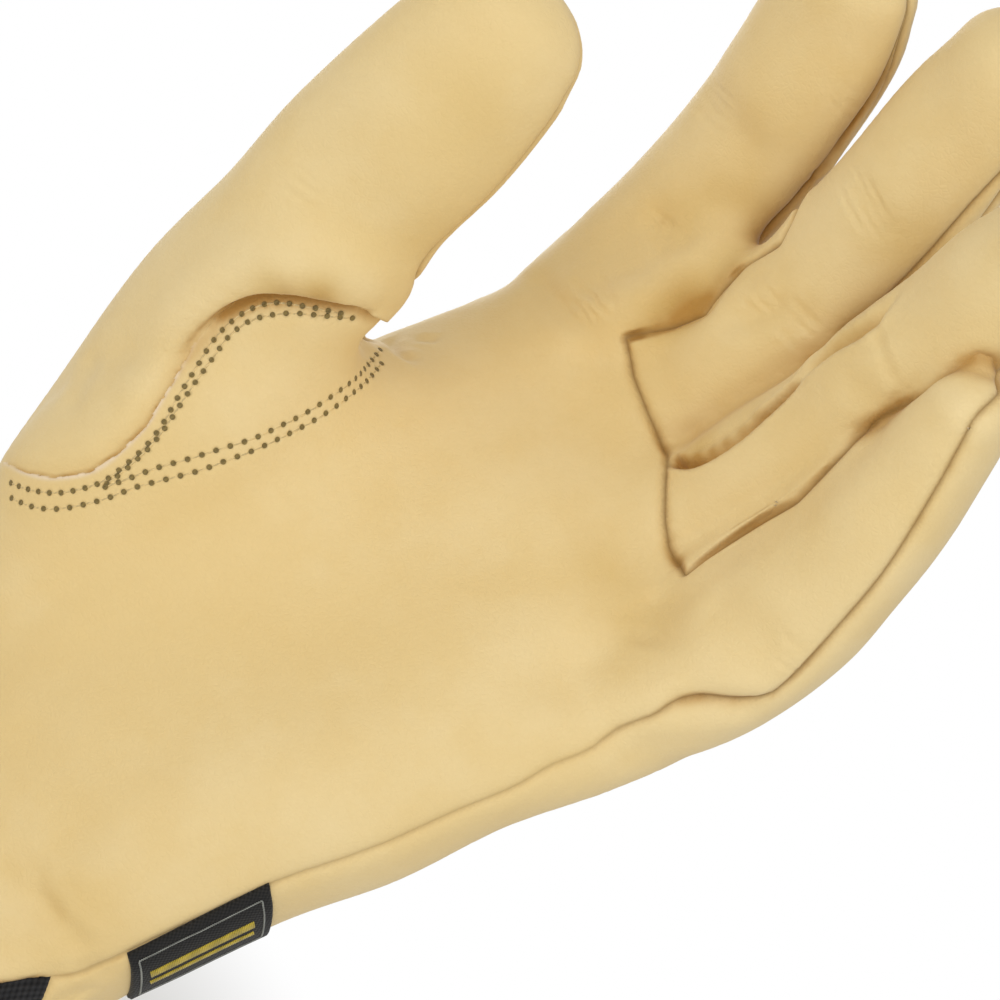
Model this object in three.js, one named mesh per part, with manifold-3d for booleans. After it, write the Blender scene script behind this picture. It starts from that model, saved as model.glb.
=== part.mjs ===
// Leather driver glove for the left hand, in the shape it takes when worn.
// Millimetres. Fingers up (+Z), palm toward -Y, thumb at -X, little finger at +X.
// The middle of the wrist opening is the origin.
import * as THREE from 'three';
import { mergeVertices } from 'three/addons/utils/BufferGeometryUtils.js';
import Module from 'manifold-3d';

const wasm = await Module();
wasm.setup();

// driving sizes
const leather = 1.8;          // wall of every panel
const gap = 0.36;             // between neighbouring panels
const cuffTop = 8.6;          // height of the bound edge
const bindingProud = 0.9;     // how far the binding stands out of the leather
const bindingInside = 0.5;
const tagThick = 1.1;
const tagLift = 0.35;
const skins = {               // how finely the outside and the hollow are made
  outside: { palmSides: 44, digitSides: 16, perRow: 2 },
  hollow: { palmSides: 30, digitSides: 12, perRow: 1 },
};
const flatness = 0.13;        // facets this close to flat are joined
const domeSections = 3;
const domeEnd = 80 * Math.PI / 180;
const squareness = 0.85;      // below 1 the palm's oval is fuller than an ellipse
const far = 150;              // beyond the glove on every side

const colours = { tan: '#d9bb84', black: '#1d1c1b' };
const tanRoughness = 0.62;

// palm and wrist: height, centre x and y, half width, depth in front of and behind
// the centre, slope across the hand
const palmRows = [
  { z: 0, x: 0, y: 0, wide: 46, front: 27, back: 26, tilt: 0 },
  { z: 20, x: 0, y: 0, wide: 42, front: 23, back: 22, tilt: 0 },
  { z: 40, x: 0, y: 0, wide: 45, front: 23, back: 23, tilt: 0 },
  { z: 62, x: 0, y: 1, wide: 49, front: 23, back: 22, tilt: 0 },
  { z: 85, x: 2, y: 4, wide: 52, front: 23, back: 21, tilt: -0.05 },
  { z: 110, x: 3.5, y: 9, wide: 52, front: 21, back: 19, tilt: -0.12 },
  { z: 135, x: 6.2, y: 15, wide: 53.2, front: 18, back: 17, tilt: -0.2 },
  { z: 153, x: 8, y: 20, wide: 52.5, front: 15, back: 15, tilt: -0.22 },
  { z: 163, x: 7, y: 22, wide: 49, front: 12, back: 12, tilt: -0.22 },
];
const palmCrown = 8;

// hollows (in) and swells (out) of the palm and the back: where, how wide, how far
const palmForms = [
  { side: 'front', x: 12, z: 92, rx: 22, rz: 34, out: -3.2 },    // hollow of the palm
  { side: 'front', x: 38, z: 72, rx: 16, rz: 30, out: 2.2 },     // heel below the little finger
  { side: 'front', x: 44, z: 140, rx: 9, rz: 10, out: -2.6 },    // dent under the little finger
  { side: 'front', x: 10, z: 146, rx: 34, rz: 9, out: 1.6 },     // pads below the fingers
  { side: 'front', x: -10, z: 36, rx: 16, rz: 7, out: -1.4 },    // crease at the wrist
  { side: 'back', x: -26, z: 158, rx: 8, rz: 10, out: 2.2 },     // knuckles
  { side: 'back', x: -3, z: 160, rx: 8, rz: 10, out: 2.4 },
  { side: 'back', x: 20, z: 155, rx: 8, rz: 10, out: 2.0 },
  { side: 'back', x: 43, z: 146, rx: 8, rz: 10, out: 1.6 },
  { side: 'back', x: 8, z: 100, rx: 30, rz: 26, out: 1.8 },      // back of the hand
];
// the wrist drawn in by the elastic: small waves round the back and the sides
const gather = { z: 19, reach: 9, waves: 15, depth: 0.7, frontShare: 0.45 };

// digits: centre of each section, half width, half depth, and how far its palm side
// is pressed in there (a fold)
const digits = {
  index: { face: [0.1, -1, 0.2], tip: 11, rows: [
    { x: -27, y: 17, z: 134, wide: 9, deep: 9, fold: 0 },
    { x: -29, y: 20, z: 156, wide: 13.5, deep: 12.5, fold: 0 },
    { x: -32, y: 21, z: 176, wide: 14.5, deep: 13.5, fold: 1.6 },
    { x: -31, y: 15, z: 198, wide: 14.5, deep: 13, fold: 0 },
    { x: -28, y: 3, z: 217, wide: 14.5, deep: 12.5, fold: 1.3 },
    { x: -26, y: -8, z: 229, wide: 14, deep: 12, fold: 0 },
    { x: -25, y: -19, z: 240, wide: 13.5, deep: 11.5, fold: 0.8 },
    { x: -25, y: -28, z: 247, wide: 12, deep: 10, fold: 0 },
  ] },
  middle: { face: [0.05, -1, 0.2], tip: 11.5, rows: [
    { x: -5, y: 19, z: 134, wide: 9, deep: 9, fold: 0 },
    { x: -5, y: 22, z: 158, wide: 13.5, deep: 12.5, fold: 0 },
    { x: -2, y: 19, z: 178, wide: 14.5, deep: 13.5, fold: 1.2 },
    { x: 3, y: 12, z: 194, wide: 14.5, deep: 13, fold: 0 },
    { x: 6, y: 5, z: 208, wide: 14.5, deep: 12.5, fold: 1.4 },
    { x: 8, y: -8, z: 229, wide: 14, deep: 12, fold: 0.4 },
    { x: 9, y: -20, z: 246, wide: 13.5, deep: 11.5, fold: 0.8 },
    { x: 11, y: -29, z: 256, wide: 12, deep: 10.5, fold: 0 },
  ] },
  ring: { face: [0, -1, 0.2], tip: 10.5, rows: [
    { x: 16, y: 18, z: 130, wide: 9, deep: 9, fold: 0 },
    { x: 19, y: 21, z: 151, wide: 13.5, deep: 12.5, fold: 0 },
    { x: 24, y: 18, z: 167, wide: 14, deep: 13, fold: 1.0 },
    { x: 28, y: 11, z: 182, wide: 14, deep: 13, fold: 0 },
    { x: 33, y: 2, z: 196, wide: 14, deep: 12.5, fold: 1.2 },
    { x: 36, y: -8, z: 209, wide: 13.5, deep: 12, fold: 0 },
    { x: 40, y: -18, z: 222, wide: 13, deep: 11.5, fold: 0.7 },
    { x: 43, y: -27, z: 232, wide: 12.5, deep: 11, fold: 0 },
    { x: 46, y: -34, z: 239, wide: 11, deep: 9.5, fold: 0 },
  ] },
  little: { face: [-0.1, -1, 0.2], tip: 9, rows: [
    { x: 40, y: 13, z: 112, wide: 9, deep: 8, fold: 0 },
    { x: 45, y: 16, z: 134, wide: 14, deep: 12, fold: 0 },
    { x: 49, y: 16, z: 148, wide: 15.5, deep: 13, fold: 0 },
    { x: 51.5, y: 13, z: 160, wide: 16, deep: 13.5, fold: 1.0 },
    { x: 53.5, y: 8, z: 173, wide: 15.5, deep: 13, fold: 0 },
    { x: 54.5, y: 2, z: 183, wide: 14, deep: 12, fold: 0.8 },
    { x: 55, y: -5, z: 194, wide: 12.7, deep: 11.5, fold: 0 },
    { x: 55, y: -12, z: 203, wide: 11.5, deep: 11, fold: 0.5 },
    { x: 55, y: -19, z: 211, wide: 10.5, deep: 10, fold: 0 },
    { x: 56, y: -24, z: 216, wide: 9.5, deep: 9, fold: 0 },
  ] },
  thumb: { face: [0.5, -0.87, 0.1], tip: 12, rows: [
    { x: -29, y: 0, z: 42, wide: 15, deep: 15, fold: 0 },
    { x: -38, y: -4, z: 66, wide: 21.5, deep: 17, fold: 0 },
    { x: -43, y: -16, z: 91, wide: 20, deep: 16, fold: 0 },
    { x: -44, y: -29, z: 115, wide: 19.5, deep: 15.5, fold: 0 },
    { x: -41, y: -39, z: 136, wide: 19.5, deep: 15, fold: 0 },
    { x: -40, y: -48, z: 152, wide: 18.8, deep: 14, fold: 0.8 },
    { x: -37, y: -56, z: 167, wide: 18.5, deep: 13, fold: 0 },
    { x: -36, y: -62, z: 181, wide: 17, deep: 12, fold: 0 },
    { x: -36, y: -64, z: 186, wide: 15.5, deep: 11, fold: 0 },
  ] },
  mound: { face: [0.57, -0.82, 0], tip: 12, rows: [
    { x: -24, y: -3, z: 34, wide: 14, deep: 14, fold: 0 },
    { x: -27, y: -6, z: 50, wide: 20, deep: 16, fold: 0 },
    { x: -33, y: -14, z: 78, wide: 24, deep: 19, fold: 0 },
    { x: -35, y: -19, z: 103, wide: 22, deep: 20, fold: 0 },
    { x: -37, y: -19, z: 122, wide: 14.5, deep: 17, fold: 0 },
  ] },
  web: { face: [0.94, -0.35, 0], tip: 7, rows: [
    { x: -34, y: -6, z: 84, wide: 12, deep: 10, fold: 0 },
    { x: -37, y: -7, z: 106, wide: 16, deep: 10, fold: 0 },
    { x: -39, y: -6, z: 128, wide: 16, deep: 7, fold: 0 },
  ] },
};

// the thumb's seam: edge on the palm side (x), step under the thumb (stepX past stepY),
// edge on the radial side (y)
const thumbSeam = [
  { z: 46, x: -76, stepX: -75, stepY: -60, y: -10 },
  { z: 52, x: -57, stepX: -56, stepY: -50, y: -4 },
  { z: 61, x: -41, stepX: -40, stepY: -40, y: 2 },
  { z: 69, x: -31, stepX: -30, stepY: -40, y: 3 },
  { z: 78, x: -27, stepX: -26, stepY: -40, y: 3 },
  { z: 88, x: -22.5, stepX: -21.5, stepY: -40, y: 3 },
  { z: 102, x: -19, stepX: -18, stepY: -25, y: 3 },
  { z: 109, x: -19.5, stepX: -18, stepY: -17, y: 1 },
  { z: 115, x: -24, stepX: -19, stepY: -14, y: -1 },
  { z: 122, x: -29, stepX: -20.5, stepY: -13, y: -2 },
  { z: 127, x: -31, stepX: -21.5, stepY: -13, y: -3 },
  { z: 132, x: -34.5, stepX: -21, stepY: -14, y: -4 },
  { z: 137, x: -40, stepX: -5, stepY: -15.5, y: -6 },
  { z: 148, x: -44, stepX: 0, stepY: -17, y: -14 },
  { z: 205, x: -44, stepX: 0, stepY: -34, y: -30 },
];

// front seam across the roots of the middle and ring fingers (x and height)
const rootSeam = [
  { x: -17.5, z: 175 },
  { x: -10, z: 172.5 },
  { x: -3, z: 172 },
  { x: 4, z: 170.5 },
  { x: 10.5, z: 168 },
  { x: 17, z: 162.5 },
  { x: 26, z: 160.5 },
  { x: 33, z: 159.5 },
  { x: 37.6, z: 158 },
];

// leaf-shaped patch at the thumb's base: its upper edge, from the crotch down
const leafEdge = [
  { x: -21, z: 140 },
  { x: -24.5, z: 133.5 },
  { x: -28, z: 129 },
  { x: -31, z: 124 },
  { x: -33.5, z: 118 },
  { x: -35, z: 109 },
  { x: -31.5, z: 99 },
  { x: -28.5, z: 92 },
  { x: -27, z: 80 },
];

// fore-and-aft place of the side seams, measured from the middle of each section
const outerSeam = [
  { z: -5, little: -10, index: 0 },
  { z: 60, little: -9, index: 0 },
  { z: 109, little: -9, index: -2 },
  { z: 138, little: -8, index: -2 },
  { z: 150, little: -6, index: -1 },
  { z: 165, little: -5, index: 0 },
  { z: 185, little: -6, index: 1 },
  { z: 205, little: -7, index: 1 },
  { z: 280, little: -7, index: 1 },
];
// strips between the fingers: their front and back edges from the middle of the finger,
// and how they narrow and end below the tip
const fourchette = { front: -1.5, back: 8, tipFade: 18, tipClear: 9, leastVolume: 150 };
// seam lines run past each finger at this share of its half width, and change over from
// the palm's middle to the finger's middle between these heights
const flank = { share: 0.7, palmEnd: 142, fingerStart: 156, slit: 0.4, step: 12, low: -8, high: 292 };
const tipShare = 0.75;        // how much of a fingertip's dome counts to the strips' end
const crotches = { index_middle: 166, middle_ring: 158, ring_little: 149 };

// elastic at the back of the wrist: its arched upper edge
const elasticEdge = [
  { x: -70, z: 11 },
  { x: -40, z: 12 },
  { x: -26, z: 20 },
  { x: -10, z: 25 },
  { x: 10, z: 25 },
  { x: 26, z: 20 },
  { x: 38, z: 14 },
  { x: 70, z: 12 },
];
// thumb's back seam: it drops away under the thumb near the crotch
const thumbBackSeam = { side: [-0.87, -0.5, 0], reach: 70, drop: 120, above: 150, below: 130 };
// region above the root seam that holds the two middle fingers
const rootRegion = [
  { x: 64, z: 262 },
  { x: 60, z: 300 },
  { x: -12, z: 300 },
  { x: -10, z: 230 },
];
// region of the patch toward the palm, closed well inside the thumb's own edge
const leafRegion = [
  { x: -20, z: 70 },
  { x: 10, z: 76 },
  { x: 10, z: 140 },
];
const leafFore = { from: -70, to: 40 };
const tag = { seam: -7.8, round: 7, z: 36, tall: 28.5, drop: 7, inside: 30, outside: 70 };

// a table's rows with smooth rows between them
function spread(rows, count) {
  const keys = Object.keys(rows[0]);
  const at = (i) => rows[Math.max(0, Math.min(rows.length - 1, i))];
  const out = [];
  for (let i = 0; i < rows.length - 1; i += 1) {
    for (let k = 0; k < count; k += 1) {
      const t = k / count;
      const row = {};
      for (const key of keys) {
        const b = rows[i][key];
        const c = rows[i + 1][key];
        const a = i > 0 ? at(i - 1)[key] : 2 * b - c;
        const d = i < rows.length - 2 ? at(i + 2)[key] : 2 * c - b;
        row[key] = 0.5 * (2 * b + (c - a) * t + (2 * a - 5 * b + 4 * c - d) * t * t
          + (3 * b - a - 3 * c + d) * t * t * t);
      }
      out.push(row);
    }
  }
  out.push({ ...rows[rows.length - 1] });
  return out;
}

// straight-line value of one column at a place between rows
function lookUp(rows, by, value, key) {
  if (value <= rows[0][by]) return rows[0][key];
  for (let i = 1; i < rows.length; i += 1) {
    if (value <= rows[i][by]) {
      const t = (value - rows[i - 1][by]) / (rows[i][by] - rows[i - 1][by]);
      return rows[i - 1][key] + (rows[i][key] - rows[i - 1][key]) * t;
    }
  }
  return rows[rows.length - 1][key];
}

function solidOf(geometry) {
  const plain = geometry.clone();
  plain.deleteAttribute('normal');
  plain.deleteAttribute('uv');
  const merged = mergeVertices(plain, 1e-5);
  return new wasm.Manifold(new wasm.Mesh({
    numProp: 3,
    vertProperties: new Float32Array(merged.attributes.position.array),
    triVerts: new Uint32Array(merged.index.array),
  }));
}

// closed skin through rings that all have the same number of points
function loft(rings) {
  const n = rings[0].length;
  const points = rings.flat();
  const index = [];
  for (let r = 0; r < rings.length - 1; r += 1) {
    for (let j = 0; j < n; j += 1) {
      const a = r * n + j;
      const b = r * n + (j + 1) % n;
      index.push(a, b, b + n, a, b + n, a + n);
    }
  }
  for (const last of [false, true]) {
    const ring = last ? rings[rings.length - 1] : rings[0];
    const base = last ? (rings.length - 1) * n : 0;
    const middle = new THREE.Vector3();
    for (const p of ring) middle.add(p);
    points.push(middle.divideScalar(n));
    const c = points.length - 1;
    for (let j = 0; j < n; j += 1) {
      const a = base + j;
      const b = base + (j + 1) % n;
      if (last) index.push(a, b, c);
      else index.push(b, a, c);
    }
  }
  const geometry = new THREE.BufferGeometry().setFromPoints(points);
  geometry.setIndex(index);
  const solid = solidOf(geometry);
  if (solid.volume() > 0) return solid;
  const turned = [];
  for (let i = 0; i < index.length; i += 3) turned.push(index[i], index[i + 2], index[i + 1]);
  geometry.setIndex(turned);
  return solidOf(geometry);
}

function block(x0, x1, y0, y1, z0, z1) {
  const geometry = new THREE.BoxGeometry(x1 - x0, y1 - y0, z1 - z0);
  geometry.translate((x0 + x1) / 2, (y0 + y1) / 2, (z0 + z1) / 2);
  return solidOf(geometry);
}

// outline in x and z, run through from y0 to y1
function prism(outline, y0, y1) {
  const shape = new THREE.Shape(outline.map((p) => new THREE.Vector2(p.x, p.z)));
  const geometry = new THREE.ExtrudeGeometry(shape, { depth: y1 - y0, bevelEnabled: false });
  geometry.rotateX(Math.PI / 2);
  geometry.translate(0, y1, 0);
  return solidOf(geometry);
}

function power(v) {
  return Math.sign(v) * Math.abs(v) ** squareness;
}

function palmSkin(inset, zFrom, detail) {
  const rings = [];
  const palmSides = detail.palmSides;
  const section = (row, shrink, lift) => {
    const ring = [];
    for (let j = 0; j < palmSides; j += 1) {
      const angle = (j / palmSides) * 2 * Math.PI;
      const c = power(Math.cos(angle));
      const s = power(Math.sin(angle));
      const behind = s > 0;
      const deep = (behind ? row.back : row.front) - inset;
      let x = row.x + (row.wide - inset) * shrink * c;
      let y = row.y + deep * shrink * s;
      for (const form of palmForms) {
        if ((form.side === 'back') !== behind) continue;
        const reach = ((x - form.x) / form.rx) ** 2 + ((row.z - form.z) / form.rz) ** 2;
        y += (behind ? 1 : -1) * form.out * Math.exp(-reach) * Math.abs(s) * shrink;
      }
      const near = Math.exp(-(((row.z - gather.z) / gather.reach) ** 2));
      const pull = inset > 0 ? 0 : gather.depth * near;
      const wave = pull * Math.cos(gather.waves * angle) * (behind ? 1 : gather.frontShare);
      x += wave * c;
      y += wave * s;
      ring.push(new THREE.Vector3(x, y, row.z + lift + row.tilt * (x - row.x)));
    }
    return ring;
  };
  const rows = spread(palmRows, detail.perRow);
  if (zFrom < 0) rows.unshift({ ...rows[0], z: zFrom });
  for (const row of rows) rings.push(section(row, 1, 0));
  const top = rows[rows.length - 1];
  for (let k = 1; k <= domeSections; k += 1) {
    const angle = (k / domeSections) * domeEnd;
    rings.push(section(top, Math.cos(angle), (palmCrown - inset) * Math.sin(angle)));
  }
  return loft(rings);
}

function digitSkin(digit, inset, detail) {
  const rows = spread(digit.rows, detail.perRow);
  const digitSides = detail.digitSides;
  const face = new THREE.Vector3(...digit.face);
  const centre = rows.map((r) => new THREE.Vector3(r.x, r.y, r.z));
  const along = centre.map((p, i) => centre[Math.min(i + 1, centre.length - 1)].clone()
    .sub(centre[Math.max(i - 1, 0)]).normalize());
  const rings = [];
  const section = (i, shrink, lift) => {
    const t = along[i];
    const front = face.clone().addScaledVector(t, -face.dot(t)).normalize();
    const side = new THREE.Vector3().crossVectors(t, front);
    const ring = [];
    for (let j = 0; j < digitSides; j += 1) {
      const angle = (j / digitSides) * 2 * Math.PI;
      const s = Math.sin(angle);
      const pressed = s > 0 ? rows[i].fold * s * s : 0;
      ring.push(centre[i].clone()
        .addScaledVector(t, lift)
        .addScaledVector(side, (rows[i].wide - inset) * shrink * Math.cos(angle))
        .addScaledVector(front, ((rows[i].deep - inset) * s - pressed) * shrink));
    }
    return ring;
  };
  for (let i = 0; i < rows.length; i += 1) rings.push(section(i, 1, 0));
  for (let k = 1; k <= domeSections; k += 1) {
    const angle = (k / domeSections) * domeEnd;
    const lift = (digit.tip - inset) * Math.sin(angle);
    rings.push(section(rows.length - 1, Math.cos(angle), lift));
  }
  return loft(rings);
}

function wholeSkin(inset, zFrom, detail) {
  let solid = palmSkin(inset, zFrom, detail);
  for (const digit of Object.values(digits)) solid = solid.add(digitSkin(digit, inset, detail));
  return solid;
}

// where a finger's section is at height z
function fingerAt(name, z) {
  const rows = digits[name].rows;
  const pick = (key) => lookUp(rows, 'z', z, key);
  return { x: pick('x'), y: pick('y'), wide: pick('wide') };
}

// a block in front of (or behind) the side seams; it follows the fingers as they curl
function seamBlock(side, shift) {
  const tops = {};
  for (const name of ['index', 'middle', 'ring', 'little']) {
    const rows = digits[name].rows;
    tops[name] = rows[rows.length - 1].z + digits[name].tip * tipShare;
  }
  const opening = (name, crotch, z) => {
    if (z < crotch) return 0;
    const left = tops[name] - fourchette.tipClear - z;
    return Math.max(0, Math.min(1, left / fourchette.tipFade));
  };
  const flanks = [
    { name: 'index', hand: -1, crotch: null },
    { name: 'index', hand: 1, crotch: crotches.index_middle },
    { name: 'middle', hand: -1, crotch: crotches.index_middle },
    { name: 'middle', hand: 1, crotch: crotches.middle_ring },
    { name: 'ring', hand: -1, crotch: crotches.middle_ring },
    { name: 'ring', hand: 1, crotch: crotches.ring_little },
    { name: 'little', hand: -1, crotch: crotches.ring_little },
    { name: 'little', hand: 1, crotch: null },
  ];
  const heights = [];
  for (let z = flank.low; z <= flank.high; z += flank.step) heights.push(z);
  for (const z of Object.values(crotches)) heights.push(z - flank.slit, z + flank.slit);
  heights.sort((a, b) => a - b);
  const rings = heights.map((z) => {
    const radial = lookUp(outerSeam, 'z', z, 'index');
    const ulnar = lookUp(outerSeam, 'z', z, 'little');
    const palmY = lookUp(palmRows, 'z', z, 'y');
    const inFingers = THREE.MathUtils.smoothstep(z, flank.palmEnd, flank.fingerStart);
    const ends = flanks.map((f) => {
      const at = fingerAt(f.name, z);
      return at.x + f.hand * at.wide * flank.share;
    });
    const line = flanks.map((f, i) => {
      const x = ends[i];
      const middle = THREE.MathUtils.lerp(palmY, fingerAt(f.name, z).y, inFingers);
      if (f.crotch === null) return { x, y: middle + (f.hand < 0 ? radial : ulnar) };
      const edge = side === 'front' ? fourchette.front : fourchette.back;
      if (z > f.crotch) return { x, y: middle + edge * opening(f.name, f.crotch, z) };
      const across = (x - ends[0]) / (ends[ends.length - 1] - ends[0]);
      const shut = inFingers < 1 ? THREE.MathUtils.lerp(radial, ulnar, across) : 0;
      return { x, y: middle + shut };
    });
    for (let i = 1; i < line.length; i += 1) {
      line[i].x = Math.max(line[i].x, line[i - 1].x + 1);
    }
    const first = line[0];
    const last = line[line.length - 1];
    const limit = side === 'front' ? -far : far;
    return [
      new THREE.Vector3(-far, first.y + shift, z),
      ...line.map((p) => new THREE.Vector3(p.x, p.y + shift, z)),
      new THREE.Vector3(far, last.y + shift, z),
      new THREE.Vector3(far, limit, z),
      new THREE.Vector3(-far, limit, z),
    ];
  });
  return loft(rings);
}

function thumbBlock(grow, lift) {
  return loft(thumbSeam.map((row) => [
    new THREE.Vector3(row.stepX + grow, -far, row.z),
    new THREE.Vector3(row.stepX + grow, row.stepY + grow, row.z),
    new THREE.Vector3(row.x + grow, row.stepY + grow, row.z),
    new THREE.Vector3(row.x + grow, row.y + grow, row.z),
    new THREE.Vector3(-far, row.y + grow, row.z),
    new THREE.Vector3(-far, -far, row.z),
  ].map((p) => p.setZ(p.z + lift))));
}

// the space on the palm side of the thumb; near the crotch it reaches round under it
function thumbFaceBlock(shift) {
  const face = new THREE.Vector3(...digits.thumb.face).normalize();
  const { side: [sideX, sideY, sideZ], reach, drop, above, below } = thumbBackSeam;
  const side = new THREE.Vector3(sideX, sideY, sideZ);
  const rows = digits.thumb.rows.map((r) => new THREE.Vector3(r.x, r.y, r.z));
  rows.unshift(rows[0].clone().add(new THREE.Vector3(4, 2, -30)));
  rows.push(rows[rows.length - 1].clone().add(new THREE.Vector3(0, -6, 30)));
  return loft(rows.map((p) => {
    const under = THREE.MathUtils.clamp((above - p.z) / (above - below), 0, 1) * drop;
    return [
      p.clone().addScaledVector(face, shift).addScaledVector(side, reach),
      p.clone().addScaledVector(face, shift),
      p.clone().addScaledVector(face, shift - under).addScaledVector(side, -reach),
      p.clone().addScaledVector(face, reach).addScaledVector(side, -reach),
      p.clone().addScaledVector(face, reach).addScaledVector(side, reach),
    ];
  }));
}

function biggest(solid) {
  const bodies = solid.decompose();
  bodies.sort((a, b) => b.volume() - a.volume());
  return bodies[0];
}

const outer = wholeSkin(0, 0, skins.outside);
const inner = wholeSkin(leather, -5, skins.hollow);
const belowCuff = block(-far, far, -far, far, -20, cuffTop + gap);
const shell = outer.subtract(inner).subtract(belowCuff);

const hand = shell.subtract(thumbBlock(gap, -gap)).subtract(thumbBlock(gap, gap));
const thumb = shell.intersect(thumbBlock(0, 0));

const fronts = hand.intersect(seamBlock('front', -gap / 2));
const backs = hand.intersect(seamBlock('back', gap / 2));
const sides = hand.subtract(seamBlock('front', gap / 2)).subtract(seamBlock('back', -gap / 2));

const aboveRoots = (grow) => prism([
  ...rootSeam.map((p) => ({ x: p.x, z: p.z - grow })),
  ...rootRegion,
], -far, far);
const palm = biggest(fronts.subtract(aboveRoots(gap)));
const middleRing = biggest(fronts.intersect(aboveRoots(0)));

const elasticZone = (grow) => prism([
  { x: elasticEdge[0].x, z: 0 },
  { x: elasticEdge[elasticEdge.length - 1].x, z: 0 },
  ...[...elasticEdge].reverse().map((p) => ({ x: p.x, z: p.z + grow })),
], -far, far);
const backPanel = biggest(backs.subtract(elasticZone(gap)));
const elastic = biggest(backs.intersect(elasticZone(0)));

const strips = sides.decompose()
  .filter((body) => body.volume() > fourchette.leastVolume)
  .sort((a, b) => a.boundingBox().min[0] - b.boundingBox().min[0]);

const leafZone = (grow) => prism([
  ...leafEdge.map((p) => ({ x: p.x - grow, z: p.z + grow / 2 })),
  ...leafRegion.map((p) => ({ x: p.x, z: p.z + (p.z > leafEdge[1].z ? grow / 2 : 0) })),
], leafFore.from, leafFore.to);
const thumbFace = thumb.intersect(thumbFaceBlock(gap / 2));
const thumbFront = biggest(thumbFace.subtract(leafZone(gap)));
const thumbPatch = biggest(thumbFace.intersect(leafZone(0)));
const thumbBack = biggest(thumb.subtract(thumbFaceBlock(-gap / 2)));

const cuffSolid = palmSkin(-bindingProud, 0, skins.outside)
  .subtract(palmSkin(leather + bindingInside, -5, skins.hollow))
  .subtract(block(-far, far, -far, far, cuffTop, 400));
const binding = biggest(cuffSolid);

const tagEnd = (y, z) => [
  new THREE.Vector3(tag.inside, y, z),
  new THREE.Vector3(tag.outside, y, z),
  new THREE.Vector3(tag.outside, y, z + tag.tall),
  new THREE.Vector3(tag.inside, y, z + tag.tall),
];
const tagZone = loft([tagEnd(tag.seam, tag.z), tagEnd(tag.round, tag.z - tag.drop)]);
const sideTag = biggest(palmSkin(-tagLift - tagThick, 0, skins.outside)
  .subtract(palmSkin(-tagLift, -5, skins.outside)).intersect(tagZone));

const group = new THREE.Group();
function place(name, solid, colour, roughness) {
  const mesh = biggest(solid.asOriginal().simplify(flatness)).getMesh();
  const geometry = new THREE.BufferGeometry();
  geometry.setAttribute('position', new THREE.BufferAttribute(mesh.vertProperties.slice(), 3));
  geometry.setIndex(new THREE.BufferAttribute(mesh.triVerts.slice(), 1));
  geometry.computeVertexNormals();
  const material = new THREE.MeshStandardMaterial({ color: colour, roughness, metalness: 0 });
  const node = new THREE.Mesh(geometry, material);
  node.name = name;
  group.add(node);
}

place('palm_panel', palm, colours.tan, tanRoughness);
place('middle_ring_front', middleRing, colours.tan, tanRoughness);
place('back_panel', backPanel, colours.tan, tanRoughness);
place('fourchette_index_middle', strips[0], colours.tan, tanRoughness);
place('fourchette_middle_ring', strips[1], colours.tan, tanRoughness);
place('fourchette_ring_little', strips[2], colours.tan, tanRoughness);
place('thumb_front', thumbFront, colours.tan, tanRoughness);
place('thumb_back', thumbBack, colours.tan, tanRoughness);
place('thumb_patch', thumbPatch, colours.tan, tanRoughness);
place('cuff_binding', binding, colours.tan, tanRoughness);
place('elastic_panel', elastic, colours.black, 0.85);
place('side_tag', sideTag, colours.black, 0.8);

export default group;
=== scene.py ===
import math

import bpy
import numpy as np
from mathutils import Matrix, Vector
from mathutils.bvhtree import BVHTree
from mathutils.kdtree import KDTree


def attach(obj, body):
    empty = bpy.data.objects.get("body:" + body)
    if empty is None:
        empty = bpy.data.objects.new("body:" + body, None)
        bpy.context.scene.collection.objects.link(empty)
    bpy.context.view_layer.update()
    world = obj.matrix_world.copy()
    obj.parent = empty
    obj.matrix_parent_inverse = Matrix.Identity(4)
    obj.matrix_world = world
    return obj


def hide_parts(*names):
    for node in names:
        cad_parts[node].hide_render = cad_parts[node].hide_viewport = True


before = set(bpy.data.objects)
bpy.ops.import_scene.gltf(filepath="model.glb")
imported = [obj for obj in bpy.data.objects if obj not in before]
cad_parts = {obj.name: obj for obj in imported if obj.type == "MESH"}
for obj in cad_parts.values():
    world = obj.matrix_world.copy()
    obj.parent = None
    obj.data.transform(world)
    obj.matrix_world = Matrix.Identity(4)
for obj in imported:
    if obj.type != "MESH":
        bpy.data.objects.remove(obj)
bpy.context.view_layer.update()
mm = 0.001
print("frame loaded", sorted(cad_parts))

# camera: it looks at the palm from the little finger's side, and the hand lies aslant in the picture
cameraFacts = {
    "azimuth": 30.0,
    "handAngle": 35.0,      # the fingers' direction in the picture, above the horizontal
    "distance": 600.0,      # mm
    "pxPerMm": 5.25,
    "target": (2.0, 5.0, 138.0),
    "photoSize": 1000,
}


def newObject(name, data):
    obj = bpy.data.objects.new(name, data)
    bpy.context.scene.collection.objects.link(obj)
    return obj


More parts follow.
